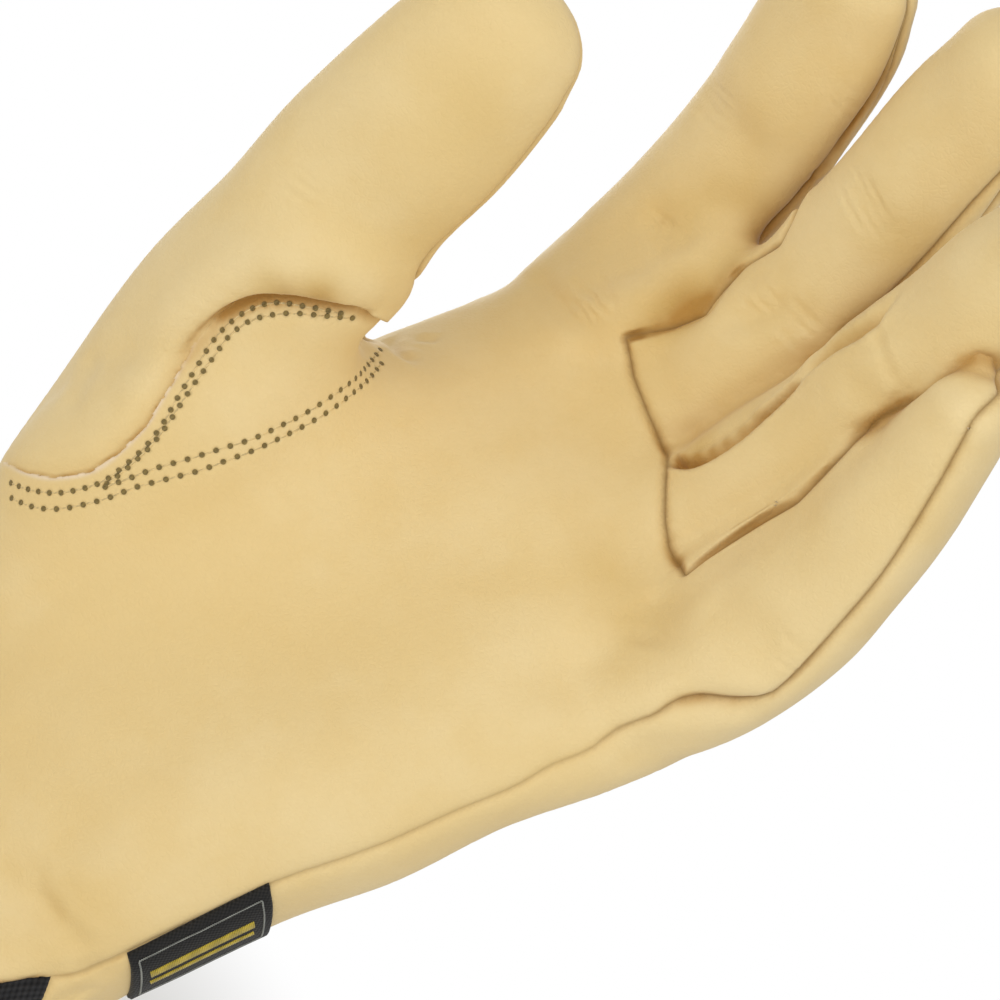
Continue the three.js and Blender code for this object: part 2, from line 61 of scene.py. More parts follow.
def makeCamera(facts):
    a = math.radians(facts["azimuth"])
    turn = math.radians(facts["handAngle"] - 90)
    back = Vector((math.sin(a), -math.cos(a), 0))
    flat = Vector((math.cos(a), math.sin(a), 0))
    rise = back.cross(flat)
    right = math.cos(turn) * flat - math.sin(turn) * rise
    up = math.sin(turn) * flat + math.cos(turn) * rise
    eye = Vector(facts["target"]) + back * facts["distance"]
    data = bpy.data.cameras.new("photoCamera")
    data.sensor_width = 36
    data.lens = 36 * facts["pxPerMm"] * facts["distance"] / facts["photoSize"]
    data.clip_start, data.clip_end = 0.05, 30
    camera = newObject("photoCamera", data)
    place = Matrix((right, up, back)).transposed().to_4x4()
    place.translation = eye * mm
    camera.matrix_world = place
    bpy.context.scene.camera = camera
    return {"eye": np.array(eye), "right": np.array(right), "up": np.array(up),
            "back": np.array(back), "focal": facts["pxPerMm"] * facts["distance"],
            "middle": facts["photoSize"] / 2}


lensView = makeCamera(cameraFacts)

# palm and wrist: height, centre x and y, half width, depth before and behind, slope (mm)
palmRows = [
    (0, 0, 0, 46, 27, 26, 0),
    (20, 0, 0, 42, 23, 22, 0),
    (40, 0, 0, 45, 23, 23, 0),
    (62, 0, 1, 49, 23, 22, 0),
    (85, 2, 4, 52, 23, 21, -0.05),
    (110, 3.5, 9, 52, 21, 19, -0.12),
    (135, 6.2, 15, 53.2, 18, 17, -0.2),
    (153, 8, 20, 52.5, 15, 15, -0.22),
    (163, 7, 22, 49, 12, 12, -0.22),
]
# hollows and swells: side (-1 palm, 1 back), x, z, reach in x, reach in z, height
palmForms = [
    (-1, 12, 92, 22, 34, -3.2),
    (-1, 38, 72, 16, 30, 2.2),
    (-1, 44, 140, 9, 10, -2.6),
    (-1, 10, 146, 34, 9, 1.6),
    (-1, -10, 36, 16, 7, -1.4),
    (1, -26, 158, 8, 10, 2.2),
    (1, -3, 160, 8, 10, 2.4),
    (1, 20, 155, 8, 10, 2.0),
    (1, 43, 146, 8, 10, 1.6),
    (1, 8, 100, 30, 26, 1.8),
]
# digits: x, y, z, half width, half depth, fold on the palm side
digits = {
    "index": {"face": (0.1, -1, 0.2), "tip": 11, "rows": [
        (-27, 17, 134, 9, 9, 0), (-29, 20, 156, 13.5, 12.5, 0), (-32, 21, 176, 15, 13.5, 1.6),
        (-31.5, 15, 198, 15.5, 13, 0), (-29.3, 3, 217, 16, 12.5, 1.3), (-27.8, -8, 229, 15.8, 12, 0),
        (-27, -19, 240, 15.5, 11.5, 0.8), (-26.7, -28, 247, 13.8, 10, 0)]},
    "middle": {"face": (0.05, -1, 0.2), "tip": 11.5, "rows": [
        (-5, 19, 134, 9, 9, 0), (-5, 22, 158, 13.5, 12.5, 0), (-2.4, 19, 178, 14.9, 13.5, 1.2),
        (2.2, 12, 194, 15.3, 13, 0), (5.2, 5, 208, 15.3, 12.5, 1.4), (7.4, -8, 229, 14.6, 12, 0.4),
        (8.2, -20, 247, 14.3, 11.5, 0.8), (10, -29, 257, 12.6, 10.5, 0)]},
    "ring": {"face": (0, -1, 0.2), "tip": 10.5, "rows": [
        (16, 18, 130, 9, 9, 0), (19, 21, 151, 13.5, 12.5, 0), (23.6, 18, 167, 13.6, 13, 1.0),
        (26.8, 11, 182, 12.8, 13, 0), (31.8, 2, 196, 12.8, 12.5, 1.2), (35.4, -8, 209, 12.9, 12, 0),
        (40, -18, 222, 13, 11.5, 0.7), (43, -27, 232, 12.5, 11, 0), (46, -34, 239, 11, 9.5, 0)]},
    "little": {"face": (-0.1, -1, 0.2), "tip": 6.5, "rows": [
        (40, 13, 112, 9, 8, 0), (45, 16, 134, 14, 12, 0), (49, 16, 148, 15.5, 13, 0),
        (51.5, 13, 160, 16, 13.5, 1.0), (53.8, 8, 173, 15.2, 13, 0), (55.2, 2, 183, 13.3, 12, 0.8),
        (56.1, -5, 194, 11.6, 11.5, 0), (56.6, -12, 203, 9.9, 10.5, 0.5), (56.9, -18, 210, 8.7, 9.5, 0),
        (57.3, -22, 214, 7.6, 8.5, 0)]},
    "thumb": {"face": (0.5, -0.87, 0.1), "tip": 12, "rows": [
        (-29, 0, 42, 15, 15, 0), (-38, -4, 66, 21.5, 17, 0), (-43, -16, 91, 20, 16, 0),
        (-44, -29, 115, 19.5, 15.5, 0), (-41, -39, 136, 19.5, 15, 0), (-40, -48, 152, 18.8, 14, 0.8),
        (-37, -56, 167, 18.5, 13, 0), (-36, -62, 181, 17, 12, 0), (-36, -64, 186, 15.5, 11, 0)]},
    "mound": {"face": (0.57, -0.82, 0), "tip": 12, "rows": [
        (-24, -3, 34, 14, 14, 0), (-27, -6, 50, 20, 16, 0), (-33, -14, 78, 24, 19, 0),
        (-35, -19, 103, 22, 20, 0), (-37, -19, 122, 14.5, 17, 0)]},
    "indexPad": {"face": (0.1, -1, 0.2), "tip": 4, "rows": [
        (-25, 15, 158, 7, 7, 0), (-19.5, 12, 172, 8, 8.5, 0), (-15.4, 9.5, 184, 7.8, 8.5, 0),
        (-15.6, 7.5, 194, 7.4, 7.5, 0), (-18, 6, 203, 6.5, 6.5, 0)]},
    "web": {"face": (0.94, -0.35, 0), "tip": 7, "rows": [
        (-34, -6, 84, 12, 10, 0), (-37, -7, 106, 16, 10, 0), (-39, -6, 128, 16, 7, 0)]},
}
skinMaking = {
    "palmSides": 120,
    "digitSides": 56,
    "perRow": 8,
    "domeRings": 9,
    "squareness": 0.85,
    "palmCrown": 8,
    "voxel": 1.42,
    "wall": 1.2,        # leather thickness, mm
}


def smoothRows(rows, count):
    rows = np.array(rows, float)
    out = []
    for i in range(len(rows) - 1):
        b, c = rows[i], rows[i + 1]
        a = rows[i - 1] if i > 0 else 2 * b - c
        d = rows[i + 2] if i < len(rows) - 2 else 2 * c - b
        for k in range(count):
            t = k / count
            out.append(0.5 * (2 * b + (c - a) * t + (2 * a - 5 * b + 4 * c - d) * t * t
                              + (3 * b - a - 3 * c + d) * t ** 3))
    out.append(rows[-1])
    return np.array(out)


def palmRings(making):
    angles = np.arange(making["palmSides"]) / making["palmSides"] * 2 * np.pi
    c = np.sign(np.cos(angles)) * np.abs(np.cos(angles)) ** making["squareness"]
    s = np.sign(np.sin(angles)) * np.abs(np.sin(angles)) ** making["squareness"]

    def ring(row, shrink, lift):
        z, cx, cy, wide, front, back, tilt = row
        deep = np.where(s > 0, back, front)
        x = cx + wide * shrink * c
        y = cy + deep * shrink * s
        for side, fx, fz, rx, rz, out in palmForms:
            near = np.exp(-((x - fx) / rx) ** 2 - ((z - fz) / rz) ** 2)
            y = y + np.where(np.sign(s) == side, side * out * near * np.abs(s) * shrink, 0)
        return np.stack([x, y, z + lift + tilt * (x - cx)], 1)

    rows = smoothRows(palmRows, making["perRow"])
    rings = [ring(row, 1, 0) for row in rows]
    for k in range(1, making["domeRings"] + 1):
        angle = k / making["domeRings"] * math.radians(84)
        rings.append(ring(rows[-1], math.cos(angle), making["palmCrown"] * math.sin(angle)))
    return rings


def digitFrames(digit, perRow):
    rows = smoothRows(digit["rows"], perRow)
    centre = rows[:, :3]
    along = np.gradient(centre, axis=0)
    along /= np.linalg.norm(along, axis=1)[:, None]
    face = np.array(digit["face"], float)
    front = face - along * (along @ face)[:, None]
    front /= np.linalg.norm(front, axis=1)[:, None]
    return rows, centre, along, front, np.cross(along, front)


def digitRings(digit, making):
    rows, centre, along, front, side = digitFrames(digit, making["perRow"])
    angles = np.arange(making["digitSides"]) / making["digitSides"] * 2 * np.pi
    c, s = np.cos(angles), np.sin(angles)

    def ring(i, shrink, lift):
        wide, deep, fold = rows[i, 3:6]
        pressed = np.where(s > 0, max(fold, 0) * s * s, 0)
        return (centre[i] + along[i] * lift + np.outer(wide * shrink * c, side[i])
                + np.outer((deep * s - pressed) * shrink, front[i]))

    rings = [ring(i, 1, 0) for i in range(len(rows))]
    for k in range(1, making["domeRings"] + 1):
        angle = k / making["domeRings"] * math.radians(86)
        rings.append(ring(-1, math.cos(angle), digit["tip"] * math.sin(angle)))
    return rings


def loftMesh(rings):
    n = len(rings[0])
    points = np.concatenate(rings + [rings[0].mean(0)[None], rings[-1].mean(0)[None]])
    faces = []
    for r in range(len(rings) - 1):
        for j in range(n):
            a, b = r * n + j, r * n + (j + 1) % n
            faces.append((a, b, b + n, a + n))
    low, high = len(points) - 2, len(points) - 1
    top = (len(rings) - 1) * n
    for j in range(n):
        faces.append((low, (j + 1) % n, j))
        faces.append((high, top + j, top + (j + 1) % n))
    return points, faces


def vertexNormals(p, t):
    n = np.cross(p[t[:, 1]] - p[t[:, 0]], p[t[:, 2]] - p[t[:, 0]])
    out = np.zeros_like(p)
    for k in range(3):
        for axis in range(3):
            out[:, axis] += np.bincount(t[:, k], n[:, axis], len(p))
    return out / np.maximum(np.linalg.norm(out, axis=1), 1e-12)[:, None]


def edgesOf(t):
    e = np.sort(np.concatenate([t[:, [0, 1]], t[:, [1, 2]], t[:, [2, 0]]]), axis=1)
    return np.unique(e, axis=0)


def neighbourMean(values, edges):
    count = np.bincount(edges.ravel(), minlength=len(values)).astype(float)
    out = np.zeros_like(values)
    flat = values.reshape(len(values), -1)
    for axis in range(flat.shape[1]):
        add = (np.bincount(edges[:, 0], flat[edges[:, 1], axis], len(values))
               + np.bincount(edges[:, 1], flat[edges[:, 0], axis], len(values)))
        out.reshape(len(values), -1)[:, axis] = add / np.maximum(count, 1)
    return out


def makeSkin(making):
    points, faces, start = [], [], 0
    for rings in [palmRings(making)] + [digitRings(d, making) for d in digits.values()]:
        p, f = loftMesh(rings)
        points.append(p)
        faces += [tuple(v + start for v in face) for face in f]
        start += len(p)
    mesh = bpy.data.meshes.new("skinDraft")
    mesh.from_pydata(np.concatenate(points).tolist(), [], faces)
    draft = newObject("skinDraft", mesh)
    remesh = draft.modifiers.new("remesh", "REMESH")
    remesh.mode = "VOXEL"
    remesh.voxel_size = making["voxel"]
    made = draft.evaluated_get(bpy.context.evaluated_depsgraph_get()).to_mesh()
    made.calc_loop_triangles()
    p = np.zeros(len(made.vertices) * 3)
    made.vertices.foreach_get("co", p)
    t = np.zeros(len(made.loop_triangles) * 3, np.int32)
    made.loop_triangles.foreach_get("vertices", t)
    bpy.data.objects.remove(draft)
    bpy.data.meshes.remove(mesh)
    p, t = p.reshape(-1, 3), t.reshape(-1, 3).astype(np.int64)
    edges = edgesOf(t)
    for k in range(10):                     # takes the voxels' steps out
        p = p + 0.5 * (neighbourMean(p, edges) - p)
        p = p - 0.52 * (neighbourMean(p, edges) - p)
    n = vertexNormals(p, t)
    hollow = np.clip(((neighbourMean(p, edges) - p) * n).sum(1) * 30, 0, 1)
    for k in range(10):
        hollow = np.maximum(hollow, neighbourMean(hollow, edges) * 0.98)
    for k in range(9):                      # rounds the creases where digits meet the palm
        p = p + (0.5 * hollow)[:, None] * (neighbourMean(p, edges) - p)
    return p, t


skinP, skinT = makeSkin(skinMaking)
print("skin", len(skinP), len(skinT))


def nearestOnSkin(p, t):
    return BVHTree.FromPolygons([Vector(v) for v in p], [tuple(f) for f in t.tolist()])


def castFromPhoto(tree, spots):
    # points of the skin behind pixels of the photograph
    out = []
    for px, py in spots:
        ray = (-lensView["back"] + lensView["right"] * (px - lensView["middle"]) / lensView["focal"]
               - lensView["up"] * (py - lensView["middle"]) / lensView["focal"])
        hit = tree.ray_cast(Vector(lensView["eye"]), Vector(ray))
        if hit[0] is not None:
            out.append(np.array(hit[0]))
    return np.array(out)


def evenLine(line, step):
    # a smooth curve through the points, with even steps
    line = np.array(line, float)
    fine = smoothRows(line, 12) if len(line) > 2 else line
    length = np.concatenate([[0], np.cumsum(np.linalg.norm(np.diff(fine, axis=0), axis=1))])
    count = max(2, int(round(length[-1] / step)) + 1)
    at = np.linspace(0, length[-1], count)
    return np.stack([np.interp(at, length, fine[:, k]) for k in range(3)], 1)


def nearLine(p, line, reach):
    # for the points within reach of a line: which, how far, how far along (0 to 1), and toward it
    low, high = line.min(0) - reach, line.max(0) + reach
    which = np.nonzero(((p > low) & (p < high)).all(1))[0]
    if not len(which):
        return which, np.zeros(0), np.zeros(0), np.zeros((0, 3))
    q = p[which]
    best = np.full(len(q), 1e9)
    along = np.zeros(len(q))
    toward = np.zeros((len(q), 3))
    for k in range(len(line) - 1):
        a, d = line[k], line[k + 1] - line[k]
        u = np.clip(((q - a) @ d) / (d @ d), 0, 1)
        away = a + u[:, None] * d - q
        dist = np.linalg.norm(away, axis=1)
        closer = dist < best
        best[closer] = dist[closer]
        along[closer] = (k + u[closer]) / (len(line) - 1)
        toward[closer] = away[closer]
    keep = best < reach
    return which[keep], best[keep], along[keep], toward[keep]


def softStep(v, low, high):
    t = np.clip((v - low) / (high - low), 0, 1)
    return t * t * (3 - 2 * t)


def pressFold(p, n, line, width, depth, shoulder=0.3, ends=0.25):
    # a fold pressed in (or raised, with a negative depth) along a line, with rounded shoulders
    which, dist, along, toward = nearLine(p, line, width * 3.2)
    fade = softStep(along, 0, ends) * softStep(1 - along, 0, ends)
    lift = -depth * np.exp(-(dist / width) ** 2)
    lift += depth * shoulder * np.exp(-((dist - 1.9 * width) / (0.8 * width)) ** 2)
    p[which] += n[which] * (lift * fade)[:, None]


def rowValue(rows, z, column):
    rows = np.array(rows, float)
    return np.interp(z, rows[:, 0], rows[:, column])


# seams, as the pattern is cut. Side seams: height, fore-and-aft place on the little finger's
# side and on the index finger's side, from the middle of each section
outerSeam = [(-5, -10, 0), (60, -9, 0), (109, -9, -2), (138, -8, -2), (150, -6, -1),
             (165, -5, 0), (185, -6, 1), (205, -7, 1), (280, -7, 1)]
sideStrips = {"front": -1.5, "back": 8, "tipFade": 18, "tipClear": 9, "flank": 0.7,
              "crotches": {"indexMiddle": 166, "middleRing": 158, "ringLittle": 177}}
# across the roots of the two middle fingers: x, z
rootSeam = [(-17.5, 175), (-10, 172.5), (-3, 172), (4, 170.5), (10.5, 168), (17, 162.5),
            (26, 160.5), (33, 159.5), (37.6, 158)]
# thumb's seam: height, edge on the palm side, step under the thumb (x, y), edge on the radial side
thumbSeam = [
    (46, -76, -75, -60, -10), (52, -57, -56, -50, -4), (61, -41, -40, -40, 2),
    (69, -31, -30, -40, 3), (78, -27, -26, -40, 3), (88, -22.5, -21.5, -40, 3),
    (102, -19, -18, -25, 3), (109, -19.5, -18, -17, 1), (115, -24, -19, -14, -1),
    (122, -29, -20.5, -13, -2), (127, -31, -21.5, -13, -3), (132, -34.5, -21, -14, -4),
    (137, -40, -5, -15.5, -6), (148, -44, 0, -17, -14), (205, -44, 0, -34, -30)]
# the same two seams where the photograph shows them: pixels
littleSeamPx = [
    (-30, 988), (0, 984), (30, 981), (60, 977), (85, 973), (134, 950), (200, 918), (284, 880),
    (346, 859), (386, 844), (437, 821), (504, 793), (550, 768), (601, 742), (647, 713), (692, 701),
    (750, 703), (780, 690), (820, 650), (880, 580), (925, 510), (958, 450), (966, 400), (983, 361)]
rootSeamPx = [(625, 340), (632, 375), (648, 415), (667, 453), (665, 470), (664, 520), (669, 547),
              (684, 575)]
photoSeams = {}
# upper edge of the elastic: x, height
elasticEdge = [(-70, 11), (-40, 12), (-26, 20), (-10, 25), (10, 25), (26, 20), (38, 14), (70, 12)]
elasticCorner = {"rise": 10, "y": (4, 13)}      # its edge sweeps up into the little finger's seam
cuffTop = 8.6       # the bound edge begins here, mm
lineSnap = 0.06     # a point this near a cut line lies on it, mm


def digitAt(name, z):
    rows = np.array(digits[name]["rows"], float)
    lean = rows[-1] - rows[-2]
    top = rows[-1] + lean * digits[name]["tip"] / np.linalg.norm(lean[:3])
    top[3] = rows[-1, 3] * 0.6
    rows = np.concatenate([rows, [top]])
    return [np.interp(z, rows[:, 2], rows[:, k]) for k in (0, 1, 3)]


def sideSeamY(p, side):
    # fore-and-aft place of the side seams at each point's x and z
    z, x = p[:, 2], p[:, 0]
    crotch = sideStrips["crotches"]
    flanks = [("index", -1, None, 0), ("index", 1, crotch["indexMiddle"], 3.5),
              ("middle", -1, crotch["indexMiddle"], 0), ("middle", 1, crotch["middleRing"], 1),
              ("ring", -1, crotch["middleRing"], 0), ("ring", 1, crotch["ringLittle"], 3),
              ("little", -1, crotch["ringLittle"], 5), ("little", 1, None, 0)]
    radial, ulnar = rowValue(outerSeam, z, 2), rowValue(outerSeam, z, 1)
    palmY = np.interp(z, [r[0] for r in palmRows], [r[2] for r in palmRows])
    inFingers = softStep(z, 142, 156)
    xs, ys = [], []
    for name, hand, cut, setBack in flanks:
        cx, cy, wide = digitAt(name, z)
        xs.append(cx + hand * wide * sideStrips["flank"])
        middle = palmY * (1 - inFingers) + cy * inFingers
        if cut is None:
            ys.append(middle + (radial if hand < 0 else ulnar))
            if hand > 0 and "little" in photoSeams:
                seen = photoSeams["little"]
                ys[-1] = np.interp(z, seen[:, 0], seen[:, 1])
            continue
        top = digits[name]["rows"][-1][2] + digits[name]["tip"] * 0.75
        opening = np.clip((top - sideStrips["tipClear"] - z) / sideStrips["tipFade"], 0, 1)
        opening = opening * softStep(z, cut - 0.4, cut + 0.8)
        across = np.clip((xs[-1] - xs[0]) / 92, 0, 1)
        shut = np.where(inFingers < 1, radial + (ulnar - radial) * across, 0)
        shut = shut * (1 - softStep(z, cut - 0.4, cut + 0.8))
        past = softStep(z, cut - 0.4, cut + 0.8)
        if name == "index":
            setBack = setBack + 3.8 * (1 - softStep(z, 198, 212))
        strip = sideStrips["front"] if side == "front" else sideStrips["back"] - setBack
        ys.append(middle + shut + setBack * past + strip * opening)
    for k in range(1, len(xs)):
        xs[k] = np.maximum(xs[k], xs[k - 1] + 1)
    out = ys[0].copy()
    for k in range(len(xs) - 1):
        t = np.clip((x - xs[k]) / (xs[k + 1] - xs[k]), 0, 1)
        out = np.where(x > xs[k], ys[k] * (1 - t) + ys[k + 1] * t, out)
    if "little" in photoSeams:
        seen = photoSeams["little"]
        share = softStep(x, 26, 34) * (1 - softStep(z, 100, 125))
        out = out * (1 - share) + np.interp(z, seen[:, 0], seen[:, 1]) * share
    return out


def thumbField(p):
    # above 0 in the thumb's leather
    x, y, z = p.T
    a, b, c, d = [rowValue(thumbSeam, z, k) for k in (1, 2, 3, 4)]
    inside = np.maximum(np.minimum(a - x, d - y), np.minimum(b - x, c - y))
    return np.minimum(inside, z - 46)


def thumbFaceField(p):
    # above 0 on the thumb's palm side
    rows = np.array(digits["thumb"]["rows"], float)
    z = p[:, 2]
    cx, cy = np.interp(z, rows[:, 2], rows[:, 0]), np.interp(z, rows[:, 2], rows[:, 1])
    over = np.maximum(z - rows[-1, 2], 0)
    under = np.maximum(rows[0, 2] - z, 0)
    dx, dy = p[:, 0] - cx - under * 4 / 30, p[:, 1] - cy + over * 6 / 30 - under * 2 / 30
    u = dx * 0.498 - dy * 0.867
    v = -dx * 0.87 - dy * 0.5
    drop = np.clip((150 - z) / 20, 0, 1) * 120
    return u - np.where(v < 0, drop * v / 70, 0)


def splitFaces(t, spot, hit):
    # makes smaller triangles of those with some sides hit; spot holds the new points on the sides
    count = hit.sum(1)
    out = [t[count == 0]]
    for turn in range(3):
        r = [(turn + k) % 3 for k in range(3)]
        one = (count == 1) & hit[:, r[0]]
        v, m = t[one][:, r], spot[one][:, r]
        out += [np.stack([v[:, 0], m[:, 0], v[:, 2]], 1), np.stack([m[:, 0], v[:, 1], v[:, 2]], 1)]
        two = (count == 2) & ~hit[:, r[2]]
        v, m = t[two][:, r], spot[two][:, r]
        out += [np.stack([m[:, 0], v[:, 1], m[:, 1]], 1), np.stack([v[:, 0], m[:, 0], m[:, 1]], 1),
                np.stack([v[:, 0], m[:, 1], v[:, 2]], 1)]
    v, m = t[count == 3], spot[count == 3]
    out += [np.stack([v[:, 0], m[:, 0], m[:, 2]], 1), np.stack([m[:, 0], v[:, 1], m[:, 1]], 1),
            np.stack([m[:, 2], m[:, 1], v[:, 2]], 1), np.stack([m[:, 0], m[:, 1], m[:, 2]], 1)]
    return np.concatenate(out)


def sidesOf(p, t):
    # the sides of each triangle, and one number for each side
    e = np.stack([t[:, [0, 1]], t[:, [1, 2]], t[:, [2, 0]]], 1)
    return e, e.min(2) * len(p) + e.max(2)


def refine(p, t, marked):
    # cuts the marked triangles in four, and their neighbours to match
    e, key = sidesOf(p, t)
    wanted = np.unique(key[marked].ravel())
    a, b = wanted // len(p), wanted % len(p)
    spot = np.searchsorted(wanted, np.minimum(key, wanted[-1])) + len(p)
    return np.concatenate([p, (p[a] + p[b]) / 2]), splitFaces(t, spot, np.isin(key, wanted))


def cutAlong(p, t, v, use):
    # cuts the triangles in use along the zero line of a field
    v[np.abs(v) < lineSnap] = 0
    s = np.sign(v)
    e, key = sidesOf(p, t)
    cross = (s[e[:, :, 0]] * s[e[:, :, 1]] < 0) & use[:, None]
    wanted = np.unique(key[cross])
    if not len(wanted):
        return p, t
    a, b = wanted // len(p), wanted % len(p)
    w = v[a] / (v[a] - v[b])
    spot = np.searchsorted(wanted, np.minimum(key, wanted[-1])) + len(p)
    t = splitFaces(t, spot, np.isin(key, wanted))
    return np.concatenate([p, p[a] + (p[b] - p[a]) * w[:, None]]), t


# the thumb's leather rolls over the edge of the patch: pixels of the crease, from the crotch on
patchEdgePx = [(366, 312), (348, 304), (320, 297), (292, 291), (262, 291), (233, 302), (214, 318),
               (193, 344), (174, 379), (158, 406), (145, 427), (118, 454), (91, 472), (54, 478),
               (27, 473), (6, 463)]
# lower double row of stitches, from the crotch on: pixels of its two rows
lowerRowsPx = [
    [(380, 350), (368, 365), (352, 382), (333, 396), (303, 415), (279, 427), (253, 439),
     (221, 449), (189, 459), (157, 468), (125, 480), (105, 487)],
    [(382, 363), (368, 380), (351, 395), (333, 409), (301, 428), (277, 440), (253, 451),
     (226, 461), (199, 471), (168, 479), (137, 487), (108, 498), (82, 505), (57, 509), (33, 507),
     (11, 498), (-20, 484)]]
# upper double row, beside the patch's edge
upperRowsPx = [
    [(342, 315), (322, 310), (300, 306), (276, 302), (251, 307), (233, 318), (217, 334),
     (204, 353), (190, 377), (175, 402), (162, 425), (145, 447), (123, 467), (102, 482),
     (77, 490), (54, 493), (31, 490), (11, 483), (-20, 470)],
    [(354, 320), (326, 317), (296, 314), (273, 315), (248, 322), (228, 337), (214, 356),
     (198, 378), (182, 402), (167, 425), (150, 447), (126, 469), (107, 484)]]


def inPicture(p):
    d = p - lensView["eye"]
    deep = -(d @ lensView["back"])
    return np.stack([lensView["middle"] + lensView["focal"] * (d @ lensView["right"]) / deep,
                     lensView["middle"] - lensView["focal"] * (d @ lensView["up"]) / deep], 1)


def outlineDepth(q, outline):
    # how far inside an outline each point is, below 0 outside
    outline = np.array(outline, float)
    best = np.full(len(q), 1e9)
    inside = np.zeros(len(q), bool)
    for k in range(len(outline)):
        a, b = outline[k], outline[(k + 1) % len(outline)]
        d = b - a
        u = np.clip(((q - a) @ d) / (d @ d), 0, 1)
        best = np.minimum(best, np.linalg.norm(a + u[:, None] * d - q, axis=1))
        crosses = (a[1] > q[:, 1]) != (b[1] > q[:, 1])
        edgeX = a[0] + (q[:, 1] - a[1]) * d[0] / (d[1] if d[1] else 1e-9)
        inside ^= crosses & (q[:, 0] < edgeX)
    return np.where(inside, best, -best)


# hollows to be filled, as the leather bridges them: outline and soft edge in pixels, turns of plain
# smoothing, turns of smoothing that mostly raises, and the height they end at (mm)
bridges = [
    {"outline": [(325, 370), (392, 350), (405, 400), (388, 455), (340, 490), (305, 450)],
     "edge": 30, "plain": 160, "turns": 1, "top": 165},
    {"outline": [(-60, 500), (100, 480), (190, 420), (235, 330), (300, 300), (362, 322), (400, 330),
                 (470, 310), (560, 330), (560, 420), (460, 520), (330, 600), (150, 680), (-60, 720)],
     "edge": 40, "plain": 30, "turns": 260, "top": 165},
    {"outline": [(470, 290), (560, 300), (625, 345), (665, 460), (680, 580), (600, 620), (500, 560),
                 (440, 420)],
     "edge": 45, "plain": 6, "turns": 120, "top": 185},
    {"outline": [(545, 240), (640, 215), (720, 215), (790, 225), (770, 262), (720, 300), (640, 345),
                 (560, 340)],
     "edge": 25, "plain": 14, "turns": 130, "top": 215},
    {"outline": [(668, 590), (690, 550), (735, 518), (800, 478), (850, 438), (882, 436), (850, 482),
                 (800, 524), (735, 568), (700, 596)],
     "edge": 9, "plain": 4, "turns": 160, "top": 204},
]
crotchPx = (372, 318)       # between thumb and index finger, which no bridge fills


def bridgeHollows(p, t):
    edges = edgesOf(t)
    for bridge in bridges:
        depth = outlineDepth(inPicture(p), bridge["outline"])
        mask = softStep(depth, -bridge["edge"], bridge["edge"] * 0.4)
        mask *= (p[:, 1] < 16) & (p[:, 2] < bridge["top"])
        mask *= softStep(np.linalg.norm(inPicture(p) - crotchPx, axis=1), 12, 45)
        tree = nearestOnSkin(p, t)
        for i in np.nonzero(mask)[0]:       # leather well behind what the picture shows stays
            ray = p[i] - lensView["eye"]
            far = np.linalg.norm(ray)
            hit = tree.ray_cast(Vector(lensView["eye"]), Vector(ray / far))[3]
            mask[i] *= hit is None or far - hit < 12
        for k in range(bridge["plain"]):
            p = p + (0.6 * mask)[:, None] * (neighbourMean(p, edges) - p)
        n = vertexNormals(p, t)
        q = p
        for k in range(bridge["turns"]):
            q = q + (0.6 * mask)[:, None] * (neighbourMean(q, edges) - q)
        rise = ((q - p) * n).sum(1)
        p = p + n * (mask * np.where(rise > 0, rise, 0.15 * rise))[:, None]
        for k in range(8):
            p = p + (0.5 * mask)[:, None] * (neighbourMean(p, edges) - p)
        print("hollow bridged, most", round(float(rise.max()), 2))
    return p


def seamsFromPhoto(p, t):
    # height and fore-and-aft place of the little finger's seam, x and height of the roots' seam
    tree = nearestOnSkin(p, t)
    line = evenLine(castFromPhoto(tree, littleSeamPx), 3.0)
    line = line[np.argsort(line[:, 2])]
    photoSeams["little"] = line[:, [2, 1]]
    line = castFromPhoto(tree, rootSeamPx)
    line = line[np.argsort(line[:, 0])][:, [0, 2]]
    ends = np.array([rootSeam[0], rootSeam[-1]], float)
    line = np.concatenate([ends[:1], line, ends[1:]])
    photoSeams["root"] = line[np.argsort(line[:, 0])]
    print("seams placed", {name: len(rows) for name, rows in photoSeams.items()})


skinP = bridgeHollows(skinP, skinT)
seamsFromPhoto(skinP, skinT)

# how far down the patch's edge line (0 at the crotch, 1 at the far end): bulge of the thumb's
# leather beside it, how far it hangs over, and how deep the patch's own edge sinks
rollRows = [
    (0.00, 1.6, 0.6, 1.2), (0.06, 2.8, 1.6, 2.0), (0.18, 3.6, 2.2, 2.3), (0.30, 3.3, 1.8, 1.8),
    (0.38, 2.8, 0.8, 0.9), (0.48, 2.2, 0.0, 0.1), (0.65, 1.4, 0.0, -0.3), (0.80, 0.8, 0.0, -0.4),
    (1.00, 0.3, 0.0, -0.4)]
# pixels of the clefts between ring and little finger, and between index and middle finger, whose
# leather parts along these lines
littleCleftPx = [(620, 612), (683, 574), (730, 541), (797, 500), (856, 437), (880, 418), (923, 392),
                 (954, 367), (978, 355), (994, 360), (1006, 385), (1014, 440)]
cleftPx = [(560, 352), (612, 341), (640, 334), (672, 326), (704, 313), (722, 288), (745, 264),
           (779, 243), (815, 175), (850, 120), (900, 50)]


